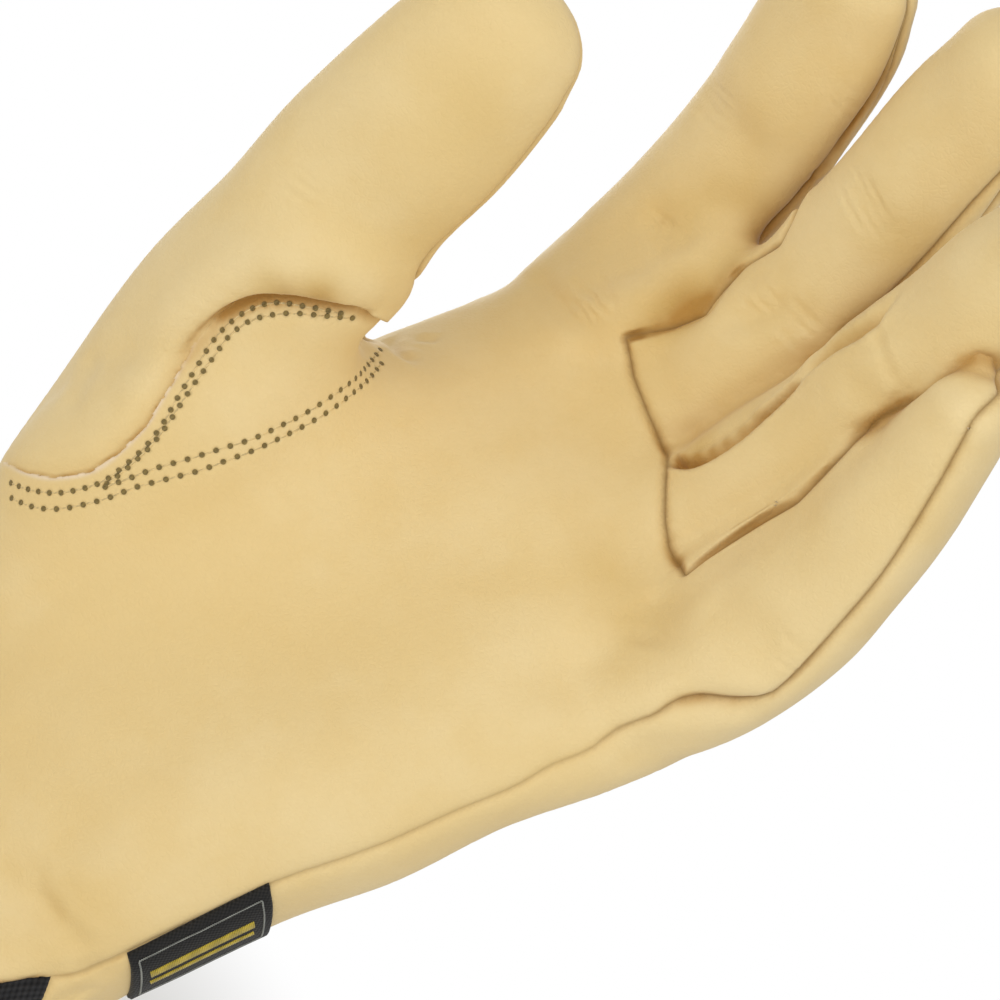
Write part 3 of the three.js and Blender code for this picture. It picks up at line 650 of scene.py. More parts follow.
def leatherEdge(p, name):
    # pieces of the pattern as fields, above 0 inside
    if name == "thumb":
        return thumbField(p)
    if name == "face":
        return thumbFaceField(p)
    if name == "front":
        return sideSeamY(p, "front") - p[:, 1]
    if name == "back":
        return p[:, 1] - sideSeamY(p, "back")
    if name == "root":
        rows = photoSeams.get("root", np.array(rootSeam, float))
        return p[:, 2] - np.interp(p[:, 0], rows[:, 0], rows[:, 1])
    if name == "elastic":
        rows = np.array(elasticEdge, float)
        corner = elasticCorner["rise"] * softStep(-p[:, 1], *elasticCorner["y"]) * (p[:, 0] > 20)
        return np.interp(p[:, 0], rows[:, 0], rows[:, 1]) + corner - p[:, 2]
    if name == "cuff":
        return p[:, 2] - cuffTop
    if name in ("cleft", "littleCleft"):
        seen, line = inPicture(p), np.array(cleftPx if name == "cleft" else littleCleftPx, float)
        return (np.interp(seen[:, 0], line[:, 0], line[:, 1]) - seen[:, 1]) / cameraFacts["pxPerMm"]
    outline = patchEdgePx + [(-60, 470), (-60, 700), (400, 400), (385, 320)]
    return outlineDepth(inPicture(p), outline) / cameraFacts["pxPerMm"]


seamLook = {
    "groove": 0.85,         # depth of a turned seam, mm
    "grooveWide": 0.8,
    "puff": 0.25,           # how far the leather swells beside it
    "puffAt": 3.2,
    "puffWide": 2.0,
    "line": 0.42,           # half width of the dark line in it
    "fineReach": 2.4,       # finer faces this near a seam
}
panelNames = ["palm_panel", "middle_ring_front", "back_panel", "fourchette_index_middle",
              "fourchette_middle_ring", "fourchette_ring_little", "thumb_front", "thumb_back",
              "thumb_patch", "elastic_panel"]
panelNumber = {name: k for k, name in enumerate(panelNames)}
belowCuff = -1


def inCleft(c):
    return (np.abs(c[:, 0] + 11) < 19) & (c[:, 2] > 168) & (c[:, 2] < 216) & (c[:, 1] < 16)


def inLittleCleft(c):
    return (c[:, 0] > 26) & (c[:, 0] < 64) & (c[:, 2] > 150) & (c[:, 1] < 12)


def panelOf(c):
    # which panel the leather at each point belongs to
    thumb = leatherEdge(c, "thumb") > 0
    face = leatherEdge(c, "face") > 0
    leaf = leatherEdge(c, "leaf") > 0
    front = leatherEdge(c, "front") > 0
    back = leatherEdge(c, "back") > 0
    out = np.full(len(c), panelNumber["fourchette_index_middle"])
    frontHere = ~thumb & front
    out[frontHere] = panelNumber["palm_panel"]
    rootX = (c[:, 0] > rootSeam[0][0]) & (c[:, 0] < 75)
    over = (leatherEdge(c, "root") > 0) & rootX & (c[:, 0] + 12 > (c[:, 2] - 230) * 0.2 - 2)
    nearest = nearestDigit(c)           # 0 index, 1 middle, 2 ring, 3 little
    nearest = np.where(inCleft(c), np.where(leatherEdge(c, "cleft") > 0, 0, 1), nearest)
    beside = np.where(leatherEdge(c, "littleCleft") > 0, np.minimum(nearest, 2), 3)
    nearest = np.where(inLittleCleft(c), beside, nearest)
    out[frontHere & over & ((nearest == 1) | (nearest == 2))] = panelNumber["middle_ring_front"]
    out[~thumb & back] = panelNumber["back_panel"]
    strip = ~thumb & ~front & ~back
    z = c[:, 2]
    gapMid = [(digitAt(a, z)[0] + digitAt(b, z)[0]) / 2
              for a, b in (("index", "middle"), ("middle", "ring"), ("ring", "little"))]
    away = np.stack([np.abs(c[:, 0] - g) for g in gapMid], 1).argmin(1)
    out[strip] = panelNumber["fourchette_index_middle"] + away[strip]
    out[thumb & face] = panelNumber["thumb_front"]
    out[thumb & ~face] = panelNumber["thumb_back"]
    out[thumb & face & leaf] = panelNumber["thumb_patch"]
    out[~thumb & back & (leatherEdge(c, "elastic") > 0)] = panelNumber["elastic_panel"]
    out[c[:, 2] < cuffTop] = belowCuff
    return out


def nearestDigit(c):
    best, out = np.full(len(c), 1e9), np.zeros(len(c), int)
    for k, name in enumerate(("index", "middle", "ring", "little")):
        line = evenLine(np.array(digits[name]["rows"], float)[:, :3], 3.0)
        for q in line:
            d = np.linalg.norm(c - q, axis=1)
            closer = d < best
            best[closer], out[closer] = d[closer], k
    return out


def sharedEdges(t):
    # edges between two faces, with the faces on both sides
    e = np.concatenate([t[:, [0, 1]], t[:, [1, 2]], t[:, [2, 0]]])
    face = np.tile(np.arange(len(t)), 3)
    key = e.min(1) * (t.max() + 1) + e.max(1)
    order = np.argsort(key, kind="stable")
    key, e, face = key[order], e[order], face[order]
    same = np.nonzero(key[1:] == key[:-1])[0]
    return e[same], face[same], face[same + 1]


def seamEdges(t, ids):
    # edges between two panels, with the panels on both sides
    e, a, b = sharedEdges(t)
    owners = np.sort(np.stack([ids[a], ids[b]], 1), axis=1)
    apart = ids[a] != ids[b]
    return e[apart], owners[apart]


def treeOf(points):
    tree = KDTree(len(points))
    for k, q in enumerate(points):
        tree.insert(q, k)
    tree.balance()
    return tree


def distanceTo(points, p, reach):
    # each point's distance to the nearest of some spots, far off where none is within reach
    dist = np.full(len(p), 1e3)
    if len(points):
        tree = treeOf(points)
        low, high = points.min(0) - reach, points.max(0) + reach
        for k in np.nonzero(((p > low) & (p < high)).all(1))[0]:
            found = tree.find(p[k])[2]
            if found < reach:
                dist[k] = found
    return dist


def evenOut(p, t, mask, turns):
    edges = edgesOf(t)
    m = mask[:, None]
    for k in range(turns):
        p = p + 0.5 * m * (neighbourMean(p, edges) - p)
        p = p - 0.51 * m * (neighbourMean(p, edges) - p)
    return p


def refineAt(p, t, near):
    old = len(p)
    p, t = refine(p, t, near[t].any(1))
    touched = np.zeros(len(p), bool)
    touched[old:] = True
    return evenOut(p, t, touched.astype(float), 3), t


def nearAny(p, lines, reach):
    near = np.zeros(len(p), bool)
    for line in lines:
        near[nearLine(p, line, reach)[0]] = True
    return near


# folds and dents read off the photograph: pixels along each, width and depth in mm
photoFolds = [
    {"at": [(618, 340), (640, 334), (672, 326), (704, 313), (722, 288), (745, 264), (779, 243)],
     "width": 0.6, "depth": 1.0, "ends": 0.06, "shoulder": 0.0},
    {"at": [(632, 330), (660, 318), (690, 303), (706, 288), (724, 264)],
     "width": 3.8, "depth": 2.0, "ends": 0.35, "shoulder": 0.0},
    {"at": [(686, 452), (712, 443), (738, 425), (766, 402)],
     "width": 3.0, "depth": 1.2, "ends": 0.35, "shoulder": 0.0},
    {"at": [(779, 243), (800, 205), (822, 170), (850, 130)], "width": 1.0, "depth": 0.6},
    {"at": [(666, 458), (684, 463), (706, 455), (735, 436), (765, 412), (800, 378)],
     "width": 1.0, "depth": 2.6, "ends": 0.07, "shoulder": 0.1},
    {"at": [(790, 390), (809, 367), (835, 345), (867, 325), (905, 285)], "width": 1.5, "depth": 1.6},
    {"at": [(683, 574), (700, 562), (730, 541), (760, 522), (797, 500)], "width": 0.7, "depth": 0.7},
    {"at": [(560, 255), (600, 285), (650, 300), (690, 292)], "width": 7.0, "depth": -1.0},
    {"at": [(528, 268), (548, 292), (572, 318), (604, 334)], "width": 2.2, "depth": 0.9},
    {"at": [(385, 338), (400, 352), (425, 362)], "width": 1.6, "depth": 0.9},
    {"at": [(395, 330), (415, 338), (440, 340)], "width": 1.2, "depth": 0.6},
    {"at": [(612, 186), (640, 206), (668, 228), (700, 246)], "width": 3.2, "depth": 0.7},
    {"at": [(700, 92), (728, 118), (752, 150), (780, 176)], "width": 4.2, "depth": 0.7},
    {"at": [(716, 322), (748, 318), (790, 300)], "width": 2.6, "depth": 1.0},
    {"at": [(768, 300), (800, 318), (830, 350)], "width": 2.8, "depth": 0.5},
    {"at": [(848, 182), (872, 210), (892, 246)], "width": 2.6, "depth": 0.6},
    {"at": [(836, 372), (862, 392), (880, 412)], "width": 2.6, "depth": 0.5},
    {"at": [(640, 590), (655, 618), (640, 650)], "width": 6.0, "depth": 1.3},
    {"at": [(700, 600), (745, 632), (790, 652)], "width": 4.5, "depth": 0.9},
    {"at": [(500, 735), (560, 718), (640, 700), (700, 690)], "width": 5.0, "depth": -0.9},
    {"at": [(652, 712), (700, 703), (745, 707), (772, 712)], "width": 2.6, "depth": 1.0},
    {"at": [(430, 560), (520, 560), (600, 580)], "width": 9.0, "depth": 0.5},
    {"at": [(250, 560), (330, 640), (380, 740)], "width": 12.0, "depth": 0.5},
    {"at": [(60, 620), (120, 700), (160, 800)], "width": 9.0, "depth": 0.6},
    {"at": [(10, 700), (60, 800), (90, 880)], "width": 6.0, "depth": 0.8},
    {"at": [(-10, 840), (30, 890), (60, 940)], "width": 3.4, "depth": 0.8},
    {"at": [(20, 880), (70, 935), (95, 960)], "width": 2.2, "depth": 0.7},
    {"at": [(70, 420), (84, 380), (92, 345)], "width": 2.6, "depth": 0.6},
]
# fine wrinkles: middle of each patch and its reach in pixels, direction in the picture (degrees,
# clockwise from the right), how many, how far apart (pixels), depth (mm)
wrinklePatches = [
    {"at": (588, 300), "long": 78, "angle": 52, "count": 7, "apart": 8, "depth": 0.34},
    {"at": (660, 228), "long": 40, "angle": 42, "count": 5, "apart": 6, "depth": 0.22},
    {"at": (846, 98), "long": 42, "angle": 58, "count": 5, "apart": 7, "depth": 0.18},
    {"at": (868, 208), "long": 84, "angle": 60, "count": 4, "apart": 8, "depth": 0.28},
    {"at": (762, 300), "long": 60, "angle": 42, "count": 4, "apart": 8, "depth": 0.24},
    {"at": (800, 332), "long": 70, "angle": 46, "count": 5, "apart": 8, "depth": 0.24},
    {"at": (790, 652), "long": 46, "angle": 35, "count": 5, "apart": 7, "depth": 0.22},
    {"at": (36, 900), "long": 130, "angle": 60, "count": 5, "apart": 17, "depth": 0.35, "wide": 3.2},
    {"at": (92, 978), "long": 54, "angle": -14, "count": 4, "apart": 9, "depth": 0.5, "wide": 2.2},
    {"at": (402, 346), "long": 40, "angle": 32, "count": 3, "apart": 8, "depth": 0.25, "wide": 1.6},
    {"at": (300, 190), "long": 60, "angle": 35, "count": 4, "apart": 12, "depth": 0.15},
    {"at": (720, 110), "long": 60, "angle": 45, "count": 4, "apart": 10, "depth": 0.16},
]


def wrinkleLines(tree):
    rng = np.random.default_rng(11)
    made = []
    for patch in wrinklePatches:
        a = math.radians(patch["angle"])
        along, across = np.array([math.cos(a), math.sin(a)]), np.array([-math.sin(a), math.cos(a)])
        for k in range(patch["count"]):
            half = patch["long"] / 2 * rng.uniform(0.45, 1.0)
            middle = (np.array(patch["at"]) + across * ((k - (patch["count"] - 1) / 2) * patch["apart"]
                      + rng.uniform(-2.5, 2.5)) + along * rng.uniform(-0.2, 0.2) * patch["long"])
            bend = rng.uniform(-0.16, 0.16) * half
            spots = []
            for u in np.linspace(-1, 1, 7):
                aside = bend * (u * u - 0.4) + rng.uniform(-1.1, 1.1)
                spots.append(middle + along * u * half + across * aside)
            line = castFromPhoto(tree, spots)
            if len(line) > 3 and np.linalg.norm(np.diff(line, axis=0), axis=1).max() < 8:
                width = rng.uniform(0.5, 0.9) * patch.get("wide", 1)
                depth = patch["depth"] * rng.uniform(0.4, 0.95)
                made.append((evenLine(line, 0.8), width, depth, 0.4, 0.3))
    return made


# creases across the digits: digit, height, from and to (degrees, 90 is the palm side), slope,
# width, depth
digitFolds = [
    ("ring", 216, 30, 150, -1, 1.2, 0.4),
    ("index", 181, 225, 315, 1, 1.6, 0.5), ("index", 186, 235, 305, -1, 1.1, 0.4),
    ("index", 216, 220, 320, 1, 1.5, 0.5), ("index", 220, 235, 310, 0, 1.0, 0.4),
    ("middle", 183, 225, 315, 1, 1.6, 0.5), ("middle", 188, 235, 305, -1, 1.1, 0.4),
    ("middle", 214, 220, 320, 1, 1.5, 0.5), ("middle", 219, 235, 310, 0, 1.0, 0.4),
    ("ring", 172, 225, 315, 1, 1.6, 0.5), ("ring", 177, 235, 305, -1, 1.1, 0.4),
    ("ring", 200, 220, 320, 1, 1.5, 0.5), ("little", 160, 225, 315, 1, 1.4, 0.4),
    ("little", 186, 220, 320, 1, 1.3, 0.4), ("little", 190, 235, 305, 0, 0.9, 0.3),
    ("thumb", 128, 215, 320, 1, 1.8, 0.6), ("thumb", 134, 225, 310, -1, 1.2, 0.5),
    ("thumb", 166, 220, 320, 1, 1.6, 0.5),
]
broadFold = 2.4     # folds wider than this are pressed before the finer faces are made


def digitLine(name, z, start, end, slope):
    # a line round a digit's skin at one height
    rows, centre, along, front, side = digitFrames(digits[name], 8)
    k = int(np.abs(centre[:, 2] - z).argmin())
    wide, deep = rows[k, 3:5]
    out = []
    for angle in np.radians(np.linspace(start, end, 7)):
        out.append(centre[k] + side[k] * wide * math.cos(angle) + front[k] * deep * math.sin(angle)
                   + along[k] * slope * math.cos(angle))
    return evenLine(out, 1.0)


# where ring and little finger lie against each other at the back: x, z
backCleft = [(33.5, 147), (34.5, 153), (36, 161), (38, 170), (39.8, 179), (41.5, 186)]


def layLeather(p, t):
    # presses the broad folds, then makes finer faces along seams, folds and stitches
    tree = nearestOnSkin(p, t)
    folds = []
    line = [tree.ray_cast(Vector((x, 90, z)), Vector((0, -1, 0)))[0] for x, z in backCleft]
    folds.append((evenLine([list(q) for q in line if q is not None], 1.0), 1.5, 2.4, 0.2, 0.1))
    for fold in photoFolds:
        line = castFromPhoto(tree, fold["at"])
        if len(line) > 1:
            folds.append((evenLine(line, max(0.8, fold["width"] * 0.5)), fold["width"], fold["depth"],
                          fold.get("ends", 0.25), fold.get("shoulder", 0.3)))
    for name, z, start, end, slope, width, depth in digitFolds:
        folds.append((digitLine(name, z, start, end, slope), width, depth, 0.25, 0.3))
    n = vertexNormals(p, t)
    for line, width, depth, ends, shoulder in folds:
        if width >= broadFold:
            pressFold(p, n, line, width, depth, shoulder, ends)
    edges, pairs = seamEdges(t, panelOf(p[t].mean(1)))
    p, t = refineAt(p, t, distanceTo(p[np.unique(edges)], p, seamLook["fineReach"]) < 99)
    tree = nearestOnSkin(p, t)
    fine = wrinkleLines(tree)
    folds += fine
    p, t = refineAt(p, t, nearAny(p, [f[0] for f in folds if f[1] < broadFold], 2.2))
    p, t = refineAt(p, t, nearAny(p, [f[0] for f in fine], 1.3))
    p, t = refineAt(p, t, (p[:, 2] > cuffTop - 1) & (leatherEdge(p, "elastic") > -0.5) & (p[:, 1] > 4))
    tree = nearestOnSkin(p, t)
    rows = [evenLine(castFromPhoto(tree, px), step) for px, step in
            zip(upperRowsPx + lowerRowsPx, (2.5, 2.5, 2.75, 2.75))]
    edge = evenLine(castFromPhoto(tree, patchEdgePx), 1.0)
    p, t = refineAt(p, t, nearAny(p, rows + [edge], 1.9))
    print("finer faces", len(p), len(t), "stitches", [len(r) for r in rows])
    return p, t, folds, rows, edge


skinP, skinT, folds, stitchRows, patchEdge = layLeather(skinP, skinT)


def cutPanels(p, t):
    for name in ("cuff", "thumb", "face", "front", "back", "root", "cleft", "littleCleft", "elastic",
                 "leaf"):
        c = p[t].mean(1)
        thumb = leatherEdge(c, "thumb") > 0
        where = {
            "cuff": np.abs(c[:, 2] - cuffTop) < 4,
            "thumb": c[:, 2] > 40,
            "face": thumb,
            "front": ~thumb,
            "back": ~thumb,
            "root": ~thumb & (c[:, 0] > -19) & (c[:, 1] < sideSeamY(c, "front") + 1),
            "cleft": inCleft(c),
            "littleCleft": inLittleCleft(c),
            "elastic": ~thumb & (c[:, 1] > -24) & (c[:, 2] < 32),
            "leaf": thumb & (c[:, 1] < 16),
        }[name]
        p, t = cutAlong(p, t, leatherEdge(p, name), where)
    return p, t


skinP, skinT = cutPanels(skinP, skinT)
panelIds = panelOf(skinP[skinT].mean(1))


def dropScraps(t, ids):
    # each panel is one piece of leather: what the cuts left loose goes to the panel beside it
    e, a, b = sharedEdges(t)
    same = ids[a] == ids[b]
    label = np.arange(len(t))
    while True:
        low = label.copy()
        np.minimum.at(low, a[same], label[b[same]])
        np.minimum.at(low, b[same], label[a[same]])
        low = low[low]
        if (low == label).all():
            break
        label = low
    size = np.bincount(label, minlength=len(t))[label]
    scrap = np.zeros(len(t), bool)
    for k in np.unique(ids[ids >= 0]):
        own = ids == k
        scrap[own] = size[own] < size[own].max()
    one, other = np.concatenate([a, b]), np.concatenate([b, a])
    beside = scrap[one] & ~scrap[other] & (ids[other] >= 0)
    many = len(panelNames)
    found, count = np.unique(label[one[beside]] * many + ids[other[beside]], return_counts=True)
    found = found[np.argsort(count, kind="stable")]     # the longest shared edge comes last and wins
    takes = np.full(len(t), -1)
    takes[found // many] = found % many
    given = scrap & (takes[label] >= 0)
    ids[given] = takes[label][given]
    return ids


panelIds = dropScraps(skinT, panelIds)
print("cut", len(skinP), len(skinT), {n: int((panelIds == k).sum()) for k, n in enumerate(panelNames)})


def smoothSeams(p, t, ids, turns):
    # evens the cut lines; where three panels meet stays put
    edges, pairs = seamEdges(t, ids)
    free = np.bincount(edges.ravel(), minlength=len(p)) == 2
    for k in range(turns):
        total = np.zeros_like(p)
        for axis in range(3):
            total[:, axis] = (np.bincount(edges[:, 0], p[edges[:, 1], axis], len(p))
                              + np.bincount(edges[:, 1], p[edges[:, 0], axis], len(p)))
        p[free] += 0.5 * (total[free] / 2 - p[free])
    line = np.unique(edges)
    loose = distanceTo(p[line], p, 1.6) < 1.5       # the leather beside a line follows it
    loose[line] = False
    around = edgesOf(t)
    for k in range(5):
        p[loose] += 0.6 * (neighbourMean(p, around)[loose] - p[loose])
    return edges, pairs


seams, seamPairs = smoothSeams(skinP, skinT, panelIds, 6)


def seamStyle(a, b):
    # what joins two panels: a turned seam, a flat edge under stitches, or the patch's open edge
    names = {"cuff" if k == belowCuff else panelNames[k] for k in (a, b)}
    if names == {"thumb_front", "thumb_patch"}:
        return "patchEdge"
    return "flush" if names == {"palm_panel", "thumb_patch"} or "cuff" in names else "turned"


def shapeSeams(p, t, edges, pairs):
    n = vertexNormals(p, t)
    styles = np.array([seamStyle(a, b) for a, b in pairs])
    dist = distanceTo(p[np.unique(edges[styles == "turned"])], p, 9.0)
    g = seamLook
    swell = g["puff"] * np.exp(-((dist - g["puffAt"]) / g["puffWide"]) ** 2)
    lift = swell - g["groove"] * np.exp(-(dist / g["grooveWide"]) ** 2)
    faint = np.where(p[:, 0] > 38, 0.5 + 0.5 * softStep(p[:, 2], 120, 150), 1)
    lift *= 0.35 + 0.65 * faint
    marks = {"seam": np.exp(-(dist / g["line"]) ** 2) * faint,
             "hole": np.zeros(len(p)), "raw": np.zeros(len(p))}
    # the thumb's leather swells beside the patch and hangs over its edge
    which, dist, along, toward = nearLine(p, patchEdge, 26)
    rows = np.array(rollRows, float)
    bulge, over, sink = [np.interp(along, rows[:, 0], rows[:, k]) for k in (1, 2, 3)]
    inLeaf = leatherEdge(p[which], "leaf") > 0
    facing = softStep(n[which] @ lensView["back"], -0.4, 0)
    hill = (bulge * (1 - 1.25 * np.exp(-(dist / 2.2) ** 2))
            * np.exp(-(np.maximum(dist - 4.5, 0) / 6.5) ** 2))
    valley = -sink * np.exp(-(dist / 3.0) ** 2)
    p[which] += n[which] * (np.where(inLeaf, valley, hill) * facing)[:, None]
    lean = softStep(dist, 0.2, 2.0) * np.exp(-(np.maximum(dist - 2, 0) / 2.5) ** 2) * over * facing
    lean = np.where(inLeaf, 0, lean)
    p[which] += toward / np.maximum(dist, 1e-6)[:, None] * lean[:, None]
    marks["raw"][which] = np.exp(-(dist / 0.5) ** 2) * inLeaf * softStep(along, 0.36, 0.5)
    p += n * lift[:, None]
    return marks


marks = shapeSeams(skinP, skinT, seams, seamPairs)

# the elastic draws the wrist in: soft waves all round, and ribs along the webbing
wristFacts = {"z": 17, "reach": 8, "waves": 17, "depth": 0.75, "frontShare": 0.4,
              "rib": 2.9, "ribDepth": 0.42, "webSink": 0.5}


def gatherAt(angle, z, facts):
    uneven = angle + 0.10 * np.sin(3 * angle + 1) + 0.05 * np.sin(7 * angle + 2)
    share = np.where(np.sin(angle) > -0.15, 1, facts["frontShare"])
    tall = np.exp(-((z - facts["z"]) / facts["reach"]) ** 2)
    wave = np.cos(facts["waves"] * uneven) + 0.35 * np.sin(9 * angle + 0.5)
    return facts["depth"] * tall * share * wave


def drawWristIn(p, t, ids, facts):
    n = vertexNormals(p, t)
    low = np.nonzero(p[:, 2] < facts["z"] + 3 * facts["reach"])[0]
    angle = np.arctan2(p[low, 1] / 0.6, p[low, 0])
    p[low] += n[low] * gatherAt(angle, p[low, 2], facts)[:, None]
    edges = edgesOf(t)
    for k in range(12):
        n = neighbourMean(n, edges)
    n /= np.maximum(np.linalg.norm(n, axis=1), 1e-6)[:, None]
    web = np.unique(t[ids == panelNumber["elastic_panel"]])
    inside = (softStep(leatherEdge(p[web], "elastic"), 0.3, 2.4)
              * softStep(p[web, 2], cuffTop, cuffTop + 0.8))
    rib = np.abs(np.sin(math.pi * p[web, 0] / facts["rib"])) - 0.6
    p[web] += n[web] * (inside * (facts["ribDepth"] * rib - facts["webSink"]))[:, None]


drawWristIn(skinP, skinT, panelIds, wristFacts)
skinN = vertexNormals(skinP, skinT)
for line, width, depth, ends, shoulder in folds:
    if width < broadFold:
        pressFold(skinP, skinN, line, width, depth, shoulder, ends)
skinN = vertexNormals(skinP, skinT)


def rubbedRidges(p, t, n):
    # raised places, paler where the grain is stretched
    edges = edgesOf(t)
    near = neighbourMean(p, edges)
    size = np.sqrt(neighbourMean(((p - near) ** 2).sum(1), edges)) + 0.3
    high = ((p - near) * n).sum(1) / size
    for k in range(6):
        high = neighbourMean(high, edges)
    return np.clip(high * 3.5, 0, 1)


marks["rub"] = rubbedRidges(skinP, skinT, skinN)


shadeFacts = {"reach": 11.0, "ways": 9, "from": 0.02, "to": 0.42}


def shadedHollows(p, t, n, tree, facts):
    # how closed in each point is by the leather round it, 0 to 1: painted shade in the hollows follows
    # it
    reach, spread = facts["reach"], facts["ways"]
    side = np.cross(n, (0.36, 0.48, 0.8))
    side /= np.maximum(np.linalg.norm(side, axis=1), 1e-6)[:, None]
    other = np.cross(n, side)
    total = np.zeros(len(p))
    start = p + n * 0.15
    cast = tree.ray_cast
    for k in range(spread):
        turn = k * 2.39996
        rise = 0.25 + 0.7 * (k + 0.5) / spread
        flat = math.sqrt(1 - rise * rise)
        ways = n * rise + side * (flat * math.cos(turn)) + other * (flat * math.sin(turn))
        for i, (a, b) in enumerate(zip(start.tolist(), ways.tolist())):
            found = cast(a, b, reach)[3]
            if found is not None:
                total[i] += 1 - found / reach
    total /= spread
    edges = edgesOf(t)
    for k in range(4):
        total = neighbourMean(total, edges)
    return total


# places painted with a warm golden shade: pixel, reach (mm), strength
paintedWarmShadeSpots = [
    ((690, 300), 6, 0.75), ((655, 318), 6, 0.55), ((735, 262), 5, 0.5), ((690, 210), 8, 0.35),
    ((748, 196), 7, 0.45), ((780, 120), 8, 0.25), ((640, 620), 9, 0.40), ((600, 570), 8, 0.2),
    ((480, 120), 11, 0.32), ((430, 230), 10, 0.25), ((900, 240), 8, 0.35), ((850, 330), 7, 0.35),
    ((740, 425), 6, 0.35), ((700, 448), 4, 0.6), ((320, 292), 4, 0.6), ((270, 285), 4, 0.45),
    ((640, 395), 10, 0.15), ((60, 900), 12, 0.2), ((170, 350), 6, 0.2), ((800, 590), 10, 0.12)]
# painted deep shade in the same way, along the clefts and under the thumb's roll
paintedDeepShadeSpots = [
    ((688, 303), 4.2, 0.55), ((702, 306), 2.2, 0.8), ((690, 314), 2.2, 0.8),
    ((675, 320), 2.0, 0.7), ((658, 326), 2.0, 0.6), ((640, 331), 1.6, 0.5),
    ((712, 295), 2.0, 0.6), ((722, 280), 2.0, 0.5), ((734, 268), 2.0, 0.4),
    ((686, 461), 1.3, 0.8), ((698, 457), 1.4, 0.9), ((712, 451), 1.4, 0.8),
    ((726, 443), 1.4, 0.7), ((742, 431), 1.4, 0.55), ((758, 417), 1.4, 0.4),
    ((320, 297), 3.0, 0.5), ((285, 292), 2.6, 0.4)]
# and where the seam at the little finger's tip fades out
fadedSeam = [((984, 352), 4.5, 1.0), ((962, 362), 3.5, 0.8)]


def toneAt(p, tree, spots):
    total = np.zeros(len(p))
    for spot, reach, strength in spots:
        middle = castFromPhoto(tree, [spot])
        if len(middle):
            total = total + strength * np.exp(-(np.linalg.norm(p - middle[0], axis=1) / reach) ** 2)
    return np.clip(total, 0, 1)


skinTree = nearestOnSkin(skinP, skinT)
# painted shade: a warm golden tone at the listed spots
marks["gold"] = toneAt(skinP, skinTree, paintedWarmShadeSpots)
closedIn = shadedHollows(skinP, skinT, skinN, skinTree, shadeFacts)
# painted shade: brown in the hollows and clefts, from how closed in each point is
marks["deep"] = softStep(closedIn, shadeFacts["from"], shadeFacts["to"])
marks["seam"] = marks["seam"] * (1 - toneAt(skinP, skinTree, fadedSeam))
marks["deep"] = 1 - (1 - marks["deep"]) * (1 - toneAt(skinP, skinTree, paintedDeepShadeSpots))
print("hollows shaded", round(float(marks["deep"].max()), 2))

stitchFacts = {
    "hole": 0.95,           # radius of the dimple that a stitch pulls, mm
    "holeDepth": 0.42,
    "eye": 0.52,            # radius of the needle hole in it
    "thread": 0.2,          # radius
    "threadShare": 0.5,     # of the way from hole to hole
    "rise": -0.05,
}


def punchHoles(p, n, rows, facts):
    low = np.concatenate(rows).min(0) - 3
    high = np.concatenate(rows).max(0) + 3
    near = np.nonzero(((p > low) & (p < high)).all(1))[0]
    q = p[near]
    for row in rows:
        for spot in row:
            d = np.linalg.norm(q - spot, axis=1)
            hit = np.nonzero(d < 3)[0]
            if not len(hit):
                continue
            d = d[hit]
            deep = np.clip(1 - d / facts["hole"], 0, 1)
            who = near[hit]
            # painted shade in the dimple round each needle hole
            marks["hole"][who] = np.maximum(marks["hole"][who], 0.45 * softStep(deep, 0.15, 0.7))
            p[who] -= n[who] * (facts["holeDepth"] * softStep(deep, 0, 1))[:, None]


rowNormals = []
for row in stitchRows:
    found = [skinTree.find_nearest(Vector(q)) for q in row]
    row[:] = [list(f[0]) for f in found]
    rowNormals.append(np.array([list(f[1]) for f in found]))
punchHoles(skinP, skinN, stitchRows, stitchFacts)


leatherFinish = {
    "base": (0.82, 0.62, 0.29, 1),
    "pale": (0.89, 0.73, 0.42, 1),
    "warm": (0.755, 0.52, 0.185, 1),
    "seamShade": (0.25, 0.135, 0.03, 1),
    # painted shade colour for the needle holes
    "holeShade": (0.22, 0.145, 0.032, 1),
    # painted shade colour: warm gold for the listed spots
    "paintedWarmShadeColour": (0.60, 0.38, 0.085, 1),
    # painted shade colour: brown for the hollows and clefts
    "hollowShade": (0.46, 0.235, 0.042, 1),
    "rawEdge": (0.86, 0.70, 0.50, 1),
    "roughness": 0.56,
    "sheen": 0.12,
    "grainHeight": 0.22,
    "grainSize": 900.0,     # cells per metre
    "marks": [              # mark on the leather, how strongly it shows, and its colour
        ("rub", 0.35, "pale"), ("gold", 0.8, "paintedWarmShadeColour"), ("deep", 0.92, "hollowShade"),
        ("seam", 0.72, "seamShade"), ("raw", 0.9, "rawEdge"), ("hole", 1.0, "holeShade")],
}


def newGroup(name, inputs, outputs):
    g = bpy.data.node_groups.new(name, "ShaderNodeTree")
    for label, kind, value in inputs:
        made = g.interface.new_socket(label, in_out="INPUT", socket_type=kind)
        made.default_value = value
    for label, kind in outputs:
        g.interface.new_socket(label, in_out="OUTPUT", socket_type=kind)
    return g, g.nodes.new("NodeGroupInput"), g.nodes.new("NodeGroupOutput")


def addNode(tree, kind, **values):
    node = tree.nodes.new(kind)
    for key, value in values.items():
        if key in node.inputs:
            node.inputs[key].default_value = value
        else:
            setattr(node, key, value)
    return node


def mathNode(tree, operation, a, b=None, clamp=False):
    node = tree.nodes.new("ShaderNodeMath")
    node.operation = operation
    node.use_clamp = clamp
    for k, value in enumerate((a, b)):
        if value is None:
            continue
        if isinstance(value, (int, float)):
            node.inputs[k].default_value = value
        else:
            tree.links.new(value, node.inputs[k])
    return node.outputs[0]


def mixColour(tree, factor, a, b):
    node = tree.nodes.new("ShaderNodeMix")
    node.data_type = "RGBA"
    for value, spot in ((factor, 0), (a, 6), (b, 7)):
        if isinstance(value, (int, float, tuple)):
            node.inputs[spot].default_value = value
        else:
            tree.links.new(value, node.inputs[spot])
    return node.outputs[2]


